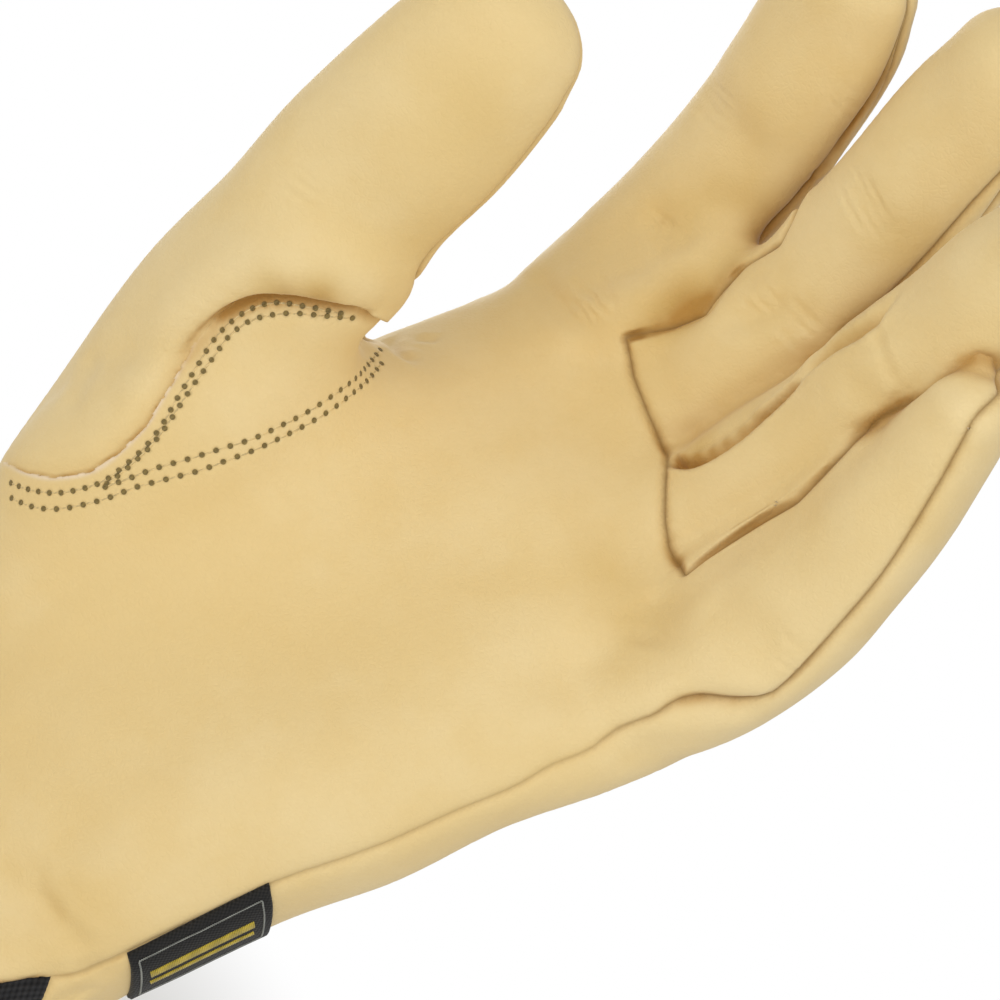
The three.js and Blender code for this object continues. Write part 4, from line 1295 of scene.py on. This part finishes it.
def grainGroup():
    # fine leather grain: small cells broken up by pores and soft wrinkles
    g, start, end = newGroup("leatherGrain", [("Cells", "NodeSocketFloat", 900.0)],
                             [("Height", "NodeSocketFloat"), ("Pores", "NodeSocketFloat")])
    where = g.nodes.new("ShaderNodeTexCoord")
    warp = addNode(g, "ShaderNodeTexNoise", Scale=160.0, Detail=2.0)
    g.links.new(where.outputs["Object"], warp.inputs["Vector"])
    bend = g.nodes.new("ShaderNodeVectorMath")
    bend.operation = "MULTIPLY_ADD"
    g.links.new(warp.outputs["Color"], bend.inputs[0])
    bend.inputs[1].default_value = (0.0012, 0.0012, 0.0012)
    g.links.new(where.outputs["Object"], bend.inputs[2])
    cells = addNode(g, "ShaderNodeTexVoronoi", feature="DISTANCE_TO_EDGE")
    g.links.new(bend.outputs[0], cells.inputs["Vector"])
    g.links.new(start.outputs["Cells"], cells.inputs["Scale"])
    pores = addNode(g, "ShaderNodeTexNoise", Scale=2400.0, Detail=3.0, Roughness=0.6)
    g.links.new(where.outputs["Object"], pores.inputs["Vector"])
    soft = addNode(g, "ShaderNodeTexNoise", Scale=420.0, Detail=3.0, Roughness=0.55)
    g.links.new(bend.outputs[0], soft.inputs["Vector"])
    rounded = mathNode(g, "MULTIPLY", mathNode(g, "MINIMUM", cells.outputs["Distance"], 0.22), 2.2)
    height = mathNode(g, "ADD", rounded, mathNode(g, "MULTIPLY", soft.outputs["Fac"], 0.9))
    height = mathNode(g, "ADD", height, mathNode(g, "MULTIPLY", pores.outputs["Fac"], 0.35))
    g.links.new(height, end.inputs["Height"])
    g.links.new(pores.outputs["Fac"], end.inputs["Pores"])
    return g


def mottleGroup():
    # broad and middling patches where the hide took the dye differently
    sizes = [("Broad", "NodeSocketFloat", 16.0), ("Fine", "NodeSocketFloat", 70.0)]
    tones = [(name, "NodeSocketFloat") for name in ("Pale", "Warm", "Fleck")]
    g, start, end = newGroup("hideMottle", sizes, tones)
    where = g.nodes.new("ShaderNodeTexCoord")
    made = []
    for label, detail in (("Broad", 3.0), ("Fine", 4.0)):
        noise = addNode(g, "ShaderNodeTexNoise", Detail=detail, Roughness=0.55)
        g.links.new(where.outputs["Object"], noise.inputs["Vector"])
        g.links.new(start.outputs[label], noise.inputs["Scale"])
        made.append(noise.outputs["Fac"])
    fleck = addNode(g, "ShaderNodeTexNoise", Scale=520.0, Detail=2.0, Roughness=0.6)
    g.links.new(where.outputs["Object"], fleck.inputs["Vector"])
    both = mathNode(g, "ADD", mathNode(g, "MULTIPLY", made[0], 0.65),
                    mathNode(g, "MULTIPLY", made[1], 0.35))
    pale = mathNode(g, "MULTIPLY", mathNode(g, "SUBTRACT", both, 0.46), 5.0, clamp=True)
    warm = mathNode(g, "MULTIPLY", mathNode(g, "SUBTRACT", 0.53, both), 4.5, clamp=True)
    g.links.new(pale, end.inputs["Pale"])
    g.links.new(warm, end.inputs["Warm"])
    g.links.new(fleck.outputs["Fac"], end.inputs["Fleck"])
    return g


def weaveGroup():
    # plain weave: two sets of threads crossing, with the uneven tone of yarn
    g, start, end = newGroup("plainWeave", [("Threads", "NodeSocketFloat", 1600.0)],
                             [("Height", "NodeSocketFloat"), ("Tone", "NodeSocketFloat")])
    where = g.nodes.new("ShaderNodeTexCoord")
    split = g.nodes.new("ShaderNodeSeparateXYZ")
    g.links.new(where.outputs["Object"], split.inputs[0])
    across = mathNode(g, "ADD", split.outputs["X"], split.outputs["Y"])
    made = []
    for value in (split.outputs["Z"], across):
        threads = mathNode(g, "MULTIPLY", value, start.outputs["Threads"])
        turn = mathNode(g, "MULTIPLY", threads, math.pi)
        made.append(mathNode(g, "SINE", turn))
    both = mathNode(g, "MULTIPLY", made[0], made[1])
    over = mathNode(g, "ADD", mathNode(g, "MULTIPLY", both, 0.5), 0.5)
    fuzz = addNode(g, "ShaderNodeTexNoise", Scale=1800.0, Detail=3.0, Roughness=0.7)
    g.links.new(where.outputs["Object"], fuzz.inputs["Vector"])
    height = mathNode(g, "ADD", over, mathNode(g, "MULTIPLY", fuzz.outputs["Fac"], 0.5))
    g.links.new(height, end.inputs["Height"])
    yarn = addNode(g, "ShaderNodeTexNoise", Scale=260.0, Detail=4.0, Roughness=0.65)
    g.links.new(where.outputs["Object"], yarn.inputs["Vector"])
    tone = mathNode(g, "MULTIPLY", over, mathNode(g, "ADD", yarn.outputs["Fac"], 0.35), clamp=True)
    g.links.new(tone, end.inputs["Tone"])
    return g


grain = grainGroup()
mottle = mottleGroup()
weave = weaveGroup()


def newMaterial(name):
    m = bpy.data.materials.new(name)
    m.use_nodes = True
    return m, m.node_tree, m.node_tree.nodes["Principled BSDF"]


def bumpFrom(tree, shader, height, distance, strength=1.0):
    bump = addNode(tree, "ShaderNodeBump", Strength=strength, Distance=distance)
    tree.links.new(height, bump.inputs["Height"])
    tree.links.new(bump.outputs["Normal"], shader.inputs["Normal"])


def wovenMaterial(name, finish):
    m, tree, shader = newMaterial(name)
    cloth = tree.nodes.new("ShaderNodeGroup")
    cloth.node_tree = weave
    cloth.inputs["Threads"].default_value = finish["threads"]
    colour = mixColour(tree, cloth.outputs["Tone"], finish["dark"], finish["light"])
    tree.links.new(colour, shader.inputs["Base Color"])
    rough = mathNode(tree, "SUBTRACT", finish["roughness"],
                     mathNode(tree, "MULTIPLY", cloth.outputs["Tone"], 0.12))
    tree.links.new(rough, shader.inputs["Roughness"])
    shader.inputs["Sheen Weight"].default_value = finish["sheen"]
    shader.inputs["Specular IOR Level"].default_value = 0.25
    bumpFrom(tree, shader, cloth.outputs["Height"], finish["height"])
    return m


blackElastic = wovenMaterial("blackElastic", {
    "threads": 1100.0, "dark": (0.006, 0.006, 0.007, 1), "light": (0.030, 0.030, 0.032, 1),
    "roughness": 0.85, "sheen": 0.15, "height": 0.00018})
blackTag = wovenMaterial("blackTag", {
    "threads": 2000.0, "dark": (0.005, 0.005, 0.005, 1), "light": (0.022, 0.021, 0.020, 1),
    "roughness": 0.75, "sheen": 0.10, "height": 0.00008})


def leatherMaterial(name, finish):
    m, tree, shader = newMaterial(name)
    tone = tree.nodes.new("ShaderNodeGroup")
    tone.node_tree = mottle
    skin = tree.nodes.new("ShaderNodeGroup")
    skin.node_tree = grain
    skin.inputs["Cells"].default_value = finish["grainSize"]
    pale = mathNode(tree, "MULTIPLY", tone.outputs["Pale"], 0.42)
    colour = mixColour(tree, pale, finish["base"], finish["pale"])
    warm = mathNode(tree, "MULTIPLY", tone.outputs["Warm"], 0.30)
    colour = mixColour(tree, warm, colour, finish["warm"])
    fleck = mathNode(tree, "SUBTRACT", tone.outputs["Fleck"], 0.5)
    fleck = mathNode(tree, "MULTIPLY", fleck, 0.30, clamp=True)
    colour = mixColour(tree, fleck, colour, finish["warm"])
    # the marks paint pale rubbed ridges, seam lines and raw edges, and painted shade: warm gold, brown
    # in hollows, dark in needle holes
    for mark, share, shade in finish["marks"]:
        found = addNode(tree, "ShaderNodeAttribute", attribute_name=mark)
        shown = mathNode(tree, "MULTIPLY", found.outputs["Fac"], share)
        colour = mixColour(tree, shown, colour, finish[shade])
    tree.links.new(colour, shader.inputs["Base Color"])
    rough = mathNode(tree, "ADD", mathNode(tree, "MULTIPLY", skin.outputs["Pores"], 0.16),
                     finish["roughness"] - 0.08)
    tree.links.new(rough, shader.inputs["Roughness"])
    shader.inputs["Sheen Weight"].default_value = finish["sheen"]
    shader.inputs["Sheen Roughness"].default_value = 0.5
    shader.inputs["Specular IOR Level"].default_value = 0.32
    bumpFrom(tree, shader, skin.outputs["Height"], 0.00006 * finish["grainHeight"] / 0.22)
    return m


tan = leatherMaterial("tanLeather", leatherFinish)
fleshFinish = dict(leatherFinish, base=(0.62, 0.47, 0.27, 1), roughness=0.85, sheen=0.3,
                   grainHeight=0.5, marks=[])
flesh = leatherMaterial("fleshSide", fleshFinish)


def makePanel(name, k):
    # one panel as a closed wall: the grain side, the flesh side and the rim between them
    used, local = np.unique(skinT[panelIds == k], return_inverse=True)
    t = local.reshape(-1, 3)
    p, n = skinP[used], skinN[used]
    count = len(p)
    e = np.concatenate([t[:, [0, 1]], t[:, [1, 2]], t[:, [2, 0]]])
    key = e.min(1) * count + e.max(1)
    first, times = np.unique(key, return_index=True, return_counts=True)[1:]
    rim = e[first[times == 1]]
    walls = np.concatenate([np.stack([rim[:, 1], rim[:, 0], rim[:, 0] + count], 1),
                            np.stack([rim[:, 1], rim[:, 0] + count, rim[:, 1] + count], 1)])
    faces = np.concatenate([t, t[:, ::-1] + count, walls])
    mesh = bpy.data.meshes.new(name)
    both = np.concatenate([p, p - n * skinMaking["wall"]])
    mesh.from_pydata((both * mm).tolist(), [], faces.tolist())
    mesh.polygons.foreach_set("use_smooth", np.ones(len(faces), bool))
    ends = np.zeros(len(mesh.edges) * 2, np.int32)
    mesh.edges.foreach_get("vertices", ends)
    ends = ends.reshape(-1, 2).astype(np.int64)
    twice = 2 * count
    corners = np.concatenate([rim, rim + count])
    sharp = np.isin(ends.min(1) * twice + ends.max(1), corners.min(1) * twice + corners.max(1))
    mesh.attributes.new("sharp_edge", "BOOLEAN", "EDGE").data.foreach_set("value", sharp)
    for mark, values in marks.items():
        spread = np.concatenate([values[used], values[used] * 0]).astype(np.float32)
        mesh.attributes.new(mark, "FLOAT", "POINT").data.foreach_set("value", spread)
    woven = panelNames[k] == "elastic_panel"
    mesh.materials.append(blackElastic if woven else tan)
    mesh.materials.append(blackElastic if woven else flesh)
    mesh.polygons.foreach_set("material_index", (np.arange(len(faces)) >= len(t)).astype(np.int32))
    mesh.update()
    obj = newObject(name, mesh)
    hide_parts(panelNames[k])
    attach(obj, "root")
    return obj


for k, node in enumerate(panelNames):
    words = node.split("_")
    made = makePanel(words[0] + "".join(w.capitalize() for w in words[1:]), k)
    print("panel", made.name, len(made.data.polygons))


def tubeMesh(lines, radius, sides, taper=0.45):
    # round threads: each line is a list of places, and both ends are thinner
    points, faces = [], []
    for line in lines:
        line = np.array(line)
        along = np.gradient(line, axis=0)
        along /= np.linalg.norm(along, axis=1)[:, None]
        up = np.array([0.31, 0.52, 0.79])
        side = np.cross(along, up)
        side /= np.linalg.norm(side, axis=1)[:, None]
        up = np.cross(side, along)
        start = len(points)
        for k in range(len(line)):
            size = radius * (taper if k in (0, len(line) - 1) else 1)
            for j in range(sides):
                a = j / sides * 2 * math.pi
                points.append(line[k] + size * (math.cos(a) * side[k] + math.sin(a) * up[k]))
        for k in range(len(line) - 1):
            for j in range(sides):
                a, b = start + k * sides + j, start + k * sides + (j + 1) % sides
                faces.append((a, b, b + sides, a + sides))
        faces.append(tuple(start + j for j in reversed(range(sides))))
        top = start + (len(line) - 1) * sides
        faces.append(tuple(top + j for j in range(sides)))
    return np.array(points), faces


def makePiece(name, points, faces, material, smooth=True):
    mesh = bpy.data.meshes.new(name)
    mesh.from_pydata((np.array(points) * mm).tolist(), [], [tuple(f) for f in faces])
    mesh.polygons.foreach_set("use_smooth", np.full(len(faces), smooth))
    mesh.materials.append(material)
    mesh.update()
    obj = newObject(name, mesh)
    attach(obj, "root")
    return obj


def stitchLines(row, normals, facts):
    lines = []
    for k in range(len(row) - 1):
        a, b = row[k], row[k + 1]
        n = normals[k] + normals[k + 1]
        n /= np.linalg.norm(n)
        gapShare = (1 - facts["threadShare"]) / 2
        line = []
        for u, lift in ((gapShare - 0.14, -0.45), (gapShare, -0.2), (0.4, facts["rise"]),
                        (0.6, facts["rise"]), (1 - gapShare, -0.2), (1.14 - gapShare, -0.45)):
            line.append(a + (b - a) * u + n * lift)
        lines.append(line)
    return lines


def threadMaterial(name, colour):
    m, tree, shader = newMaterial(name)
    where = tree.nodes.new("ShaderNodeTexCoord")
    twist = addNode(tree, "ShaderNodeTexWave", Scale=420.0, Distortion=1.5)
    tree.links.new(where.outputs["Object"], twist.inputs["Vector"])
    dark = tuple(0.72 * c for c in colour[:3]) + (1,)
    tree.links.new(mixColour(tree, twist.outputs["Fac"], dark, colour), shader.inputs["Base Color"])
    shader.inputs["Roughness"].default_value = 0.55
    shader.inputs["Sheen Weight"].default_value = 0.25
    bumpFrom(tree, shader, twist.outputs["Fac"], 0.0001, 0.6)
    return m


tanThread = threadMaterial("tanThread", (0.80, 0.60, 0.27, 1))
paintedHoleShade = threadMaterial("paintedHoleShade", (0.23, 0.16, 0.036, 1))
threads = []
for row, normals in zip(stitchRows, rowNormals):
    threads += stitchLines(row, normals, stitchFacts)
points, faces = tubeMesh(threads, stitchFacts["thread"], 8)
makePiece("patchStitches", points, faces, tanThread)


def stitchEyes(rows, rowNormals, facts):
    # a small dark cup in each dimple, painted shade where the thread dives into the needle hole
    points, faces, sides = [], [], 14
    for row, normals in zip(rows, rowNormals):
        for spot, n in zip(row, normals):
            side = np.cross(n, (0.3, 0.5, 0.8))
            side /= np.linalg.norm(side)
            other = np.cross(n, side)
            start = len(points)
            for size, lift in ((1.0, -0.42), (1.0, -0.06), (0.86, 0.0), (0.6, -0.05), (0.3, -0.12)):
                for j in range(sides):
                    a = j / sides * 2 * math.pi
                    outward = side * math.cos(a) + other * math.sin(a)
                    points.append(spot + n * lift + outward * size * facts["eye"])
            for r in range(4):
                for j in range(sides):
                    a, b = start + r * sides + j, start + r * sides + (j + 1) % sides
                    faces.append((a, b, b + sides, a + sides))
            faces.append(tuple(start + 4 * sides + j for j in range(sides)))
            faces.append(tuple(start + j for j in reversed(range(sides))))
    return np.array(points), faces


points, faces = stitchEyes(stitchRows, rowNormals, stitchFacts)
makePiece("stitchEyes", points, faces, paintedHoleShade)
print("stitches", len(threads))

bindingFacts = {
    "sides": 420,
    # section of the folded strip: how far out of the leather, height (mm)
    "section": [(0.55, 9.35), (0.12, 9.2), (0.05, 8.5), (-0.5, 8.42), (-1.28, 8.5), (-1.33, 9.2),
                (-1.65, 9.3), (-1.9, 8.9), (-1.98, 6.5), (-1.95, 3.5), (-1.92, 1.2), (-1.6, 0.35),
                (-0.95, 0.02), (-0.1, 0.0), (0.55, 0.3), (0.86, 1.1), (0.9, 3.5), (0.72, 6.0),
                (0.92, 7.6), (0.88, 8.9)],
    "pucker": 0.10,
    "stitchHeight": 6.0,
    "stitch": 2.9,
    "thread": 0.27,
}


def wristOutline(angles, z):
    # the leather's outside at one height, with the elastic's waves, and its outward direction
    rows = smoothRows(palmRows, 8)
    wide, front, back = [np.interp(z, rows[:, 0], rows[:, k]) for k in (3, 4, 5)]
    power = skinMaking["squareness"]
    c = np.sign(np.cos(angles)) * np.abs(np.cos(angles)) ** power
    s = np.sign(np.sin(angles)) * np.abs(np.sin(angles)) ** power
    x, y = wide * c, np.where(s > 0, back, front) * s
    out = np.stack([np.gradient(y), -np.gradient(x)], 1)
    out /= np.linalg.norm(out, axis=1)[:, None]
    wave = gatherAt(np.arctan2(y / 0.6, x), z, wristFacts)
    return x + out[:, 0] * wave, y + out[:, 1] * wave, out


def makeBinding(facts):
    n = facts["sides"]
    fine = np.linspace(0, 2 * np.pi, 4001)
    bx, by, out = wristOutline(fine, 6.0)
    length = np.concatenate([[0], np.cumsum(np.hypot(np.diff(bx), np.diff(by)))])
    angles = np.interp(np.arange(n) / n * length[-1], length, fine)
    section = evenLine([(a, 0, z) for a, z in facts["section"] + facts["section"][:1]], 0.45)[:-1]
    count = len(section)
    points, faces = [], []
    for j, (away, none, z) in enumerate(section):
        x, y, out = wristOutline(fine, max(z, 0.0))
        x, y = np.interp(angles, fine, x), np.interp(angles, fine, y)
        ox, oy = np.interp(angles, fine, out[:, 0]), np.interp(angles, fine, out[:, 1])
        uneven = facts["pucker"] * np.cos(np.arange(n) / n * length[-1] / facts["stitch"] * 2 * np.pi)
        far = away + np.where(away > 0, uneven * math.exp(-((z - facts["stitchHeight"]) / 2.2) ** 2), 0)
        points.append(np.stack([x + ox * far, y + oy * far, np.full(n, z)], 1))
    for j in range(count):
        for k in range(n):
            a, b = j * n + k, j * n + (k + 1) % n
            c, d = ((j + 1) % count) * n + k, ((j + 1) % count) * n + (k + 1) % n
            faces.append((a, b, d, c))
    piece = makePiece("cuffBinding", np.concatenate(points), faces, tan)
    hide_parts("cuff_binding")
    steps = int(length[-1] / facts["stitch"])
    at = np.interp(np.arange(steps + 1) / steps * length[-1], length, fine)
    x, y, out = wristOutline(fine, facts["stitchHeight"])
    spots = np.stack([np.interp(at, fine, x), np.interp(at, fine, y),
                      np.full(len(at), facts["stitchHeight"])], 1)
    normals = np.stack([np.interp(at, fine, out[:, 0]), np.interp(at, fine, out[:, 1]),
                        np.zeros(len(at))], 1)
    ownFacts = dict(stitchFacts, threadShare=0.74, rise=0.12)
    lines = stitchLines(spots + normals * 0.78, normals, ownFacts)
    points, faces = tubeMesh(lines, facts["thread"], 8)
    makePiece("bindingStitches", points, faces, tanThread)
    print("binding", count * n)


makeBinding(bindingFacts)

tagFacts = {
    "seam": -8.0, "round": 7.0,     # fore-and-aft, mm
    "z": 36.0, "tall": 28.5, "drop": 7.0,
    "lift": 0.2, "thick": 0.9, "edge": 0.55,
    "frame": 1.9,                   # woven line this far inside the edge
    "bars": [(0.36, 0.50), (0.58, 0.66)],
    "across": 40, "along": 72,
    "frameThread": 0.14, "barThread": 0.17,
}


def makeTag(facts):
    tree = nearestOnSkin(skinP, skinT)
    nu, nv = facts["along"], facts["across"]
    ground, out = np.zeros((nu + 1, nv + 1, 3)), np.zeros((nu + 1, nv + 1, 3))
    for i in range(nu + 1):
        for j in range(nv + 1):
            y = facts["seam"] + (facts["round"] - facts["seam"]) * j / nv
            z = facts["z"] + facts["tall"] * i / nu - facts["drop"] * j / nv
            place, normal, none, none = tree.ray_cast(Vector((140, y, z)), Vector((-1, 0, 0)))
            ground[i, j], out[i, j] = place, normal
    for k in range(30):                     # the label bridges the leather's small waves
        for data in (ground, out):
            data[1:-1] += 0.5 * ((data[:-2] + data[2:]) / 2 - data[1:-1])
            data[:, 1:-1] += 0.5 * ((data[:, :-2] + data[:, 2:]) / 2 - data[:, 1:-1])
    out /= np.linalg.norm(out, axis=2)[:, :, None]
    su = np.linalg.norm(np.diff(ground[:, nv // 2], axis=0), axis=1).sum()
    sv = np.linalg.norm(np.diff(ground[nu // 2], axis=0), axis=1).sum()
    u, v = np.meshgrid(np.arange(nu + 1) / nu * su, np.arange(nv + 1) / nv * sv, indexing="ij")
    inside = np.minimum(np.minimum(u, su - u), np.minimum(v, sv - v))
    rise = np.sqrt(1 - (1 - np.clip(inside / facts["edge"], 0, 1)) ** 2)
    frameLine = np.exp(-((inside - facts["frame"]) / 0.3) ** 2)
    hem = 0.12 * softStep(facts["frame"] - 0.5 - inside, 0, 0.5)
    height = facts["lift"] + facts["thick"] * (0.35 + 0.65 * rise) + 0.08 * frameLine + hem
    top = ground + out * height[:, :, None]
    low = ground + out * (facts["lift"] * 0.4)
    w = nv + 1
    half = (nu + 1) * w
    faces = []
    for i in range(nu):
        for j in range(nv):
            a = i * w + j
            faces.append((a, a + w, a + w + 1, a + 1))
            faces.append((half + a, half + a + 1, half + a + w + 1, half + a + w))
    rim = ([(i, 0) for i in range(nu + 1)] + [(nu, j) for j in range(1, nv + 1)]
           + [(i, nv) for i in range(nu - 1, -1, -1)] + [(0, j) for j in range(nv - 1, 0, -1)])
    rim = [i * w + j for i, j in rim]
    for a, b in zip(rim, rim[1:] + rim[:1]):
        faces.append((b, a, a + half, b + half))
    both = np.concatenate([top.reshape(-1, 3), low.reshape(-1, 3)])
    piece = makePiece("sideTag", both, faces, blackTag)
    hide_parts("side_tag")

    def onTag(a, b, lift):
        i, j = a / su * nu, b / sv * nv
        i0, j0 = min(int(i), nu - 1), min(int(j), nv - 1)
        fi, fj = i - i0, j - j0
        spot = ((top[i0, j0] * (1 - fi) + top[i0 + 1, j0] * fi) * (1 - fj)
                + (top[i0, j0 + 1] * (1 - fi) + top[i0 + 1, j0 + 1] * fi) * fj)
        return spot + out[i0, j0] * lift

    # a woven line round the label, and two plain bars of satin threads
    f = facts["frame"]
    corners = [(f, f), (su - f, f), (su - f, sv - f), (f, sv - f), (f, f)]
    grey, yellow = [], []
    for (a0, b0), (a1, b1) in zip(corners, corners[1:]):
        steps = int(math.hypot(a1 - a0, b1 - b0) / 0.42)
        for k in range(steps):
            m0, m1 = (k + 0.02) / steps, (k + 1.15) / steps
            level = abs(a1 - a0) > abs(b1 - b0)
            one, two = [(a0 + (a1 - a0) * m + (0 if level else q),
                         b0 + (b1 - b0) * m + (q if level else 0))
                        for m, q in ((m0, -0.13), (m1, 0.13))]
            middle = ((one[0] + two[0]) / 2, (one[1] + two[1]) / 2)
            grey.append([onTag(a, b, 0.06) for a, b in (one, middle, two)])
    for lowEdge, highEdge in facts["bars"]:
        steps = int((su - 4 * f) / 0.34)
        for k in range(steps):
            a = 2 * f + (su - 4 * f) * k / steps
            yellow.append([onTag(a + 0.25 * m, sv * (lowEdge + (highEdge - lowEdge) * m), h)
                           for m, h in ((0, 0.0), (0.15, 0.10), (0.5, 0.13), (0.85, 0.10), (1, 0.0))])
    for name, lines, size, material in (("tagFrame", grey, "frameThread", greyThread),
                                        ("tagBars", yellow, "barThread", yellowThread)):
        points, faces = tubeMesh(lines, facts[size], 6, 0.7)
        makePiece(name, points, faces, material)
    print("tag", round(su, 1), "by", round(sv, 1), "mm")


greyThread = threadMaterial("greyThread", (0.30, 0.31, 0.28, 1))
yellowThread = threadMaterial("yellowThread", (0.62, 0.47, 0.03, 1))
makeTag(tagFacts)

stageFacts = {
    "floorRadius": 4.0,
    "floorDrop": 0.0006,
    "floorColour": (0.92, 0.915, 0.90, 1),
    "worldSeen": 1.0,
    "worldLight": 0.55,
    "fadeFrom": 0.07,       # the floor turns to plain white between these distances, m
    "fadeTo": 0.42,
    "lights": [
        # place from the glove's middle in the picture's right, up and toward-camera (m), size,
        # watts, colour
        ("keyLight", (-0.1, 0.4, 1.3), 0.9, 5.8, (1.0, 0.985, 0.96)),
        ("fillLight", (0.8, -0.3, 0.9), 1.0, 2.6, (1.0, 0.99, 0.98)),
        ("backLight", (-0.2, 0.4, -1.1), 1.2, 7.0, (1.0, 0.99, 0.98)),
    ],
}


def makeStage(facts):
    n = 96
    turns = [k / n * 2 * math.pi for k in range(n)]
    ring = [(facts["floorRadius"] * math.cos(a), facts["floorRadius"] * math.sin(a),
             -facts["floorDrop"]) for a in turns]
    mesh = bpy.data.meshes.new("floor")
    mesh.from_pydata(ring, [], [tuple(range(n))])
    floor = newObject("floor", mesh)
    m, tree, shader = newMaterial("paleFloor")
    shader.inputs["Base Color"].default_value = facts["floorColour"]
    shader.inputs["Roughness"].default_value = 0.9
    shader.inputs["Specular IOR Level"].default_value = 0.1
    glow = addNode(tree, "ShaderNodeEmission", Strength=facts["worldSeen"])
    where = tree.nodes.new("ShaderNodeTexCoord")
    away = tree.nodes.new("ShaderNodeVectorMath")
    away.operation = "LENGTH"
    tree.links.new(where.outputs["Object"], away.inputs[0])
    fade = addNode(tree, "ShaderNodeMapRange")
    fade.interpolation_type = "SMOOTHSTEP"
    tree.links.new(away.outputs["Value"], fade.inputs["Value"])
    fade.inputs["From Min"].default_value = facts["fadeFrom"]
    fade.inputs["From Max"].default_value = facts["fadeTo"]
    seen = tree.nodes.new("ShaderNodeLightPath")
    share = mathNode(tree, "MULTIPLY", fade.outputs["Result"], seen.outputs["Is Camera Ray"])
    mix = tree.nodes.new("ShaderNodeMixShader")
    tree.links.new(share, mix.inputs[0])
    tree.links.new(shader.outputs[0], mix.inputs[1])
    tree.links.new(glow.outputs[0], mix.inputs[2])
    tree.links.new(mix.outputs[0], tree.nodes["Material Output"].inputs["Surface"])
    mesh.materials.append(m)
    middle = Vector(cameraFacts["target"]) * mm
    for name, place, size, watts, colour in facts["lights"]:
        data = bpy.data.lights.new(name, "AREA")
        data.shape = "DISK"
        data.size = size
        data.energy = watts
        data.color = colour
        lamp = newObject(name, data)
        axes = [Vector(lensView[axis]) for axis in ("right", "up", "back")]
        offset = sum((axis * v for axis, v in zip(axes, place)), Vector())
        lamp.location = middle + offset
        lamp.rotation_euler = (-offset).to_track_quat("-Z", "Y").to_euler()
    world = bpy.data.worlds.new("softWhite")
    world.use_nodes = True
    tree = world.node_tree
    sky = tree.nodes["Background"]
    sky.inputs["Color"].default_value = (1, 1, 1, 1)
    seen = tree.nodes.new("ShaderNodeLightPath")
    extra = mathNode(tree, "MULTIPLY", seen.outputs["Is Camera Ray"],
                     facts["worldSeen"] - facts["worldLight"])
    tree.links.new(mathNode(tree, "ADD", extra, facts["worldLight"]), sky.inputs["Strength"])
    bpy.context.scene.world = world
    bpy.context.scene.view_settings.view_transform = "Standard"


makeStage(stageFacts)
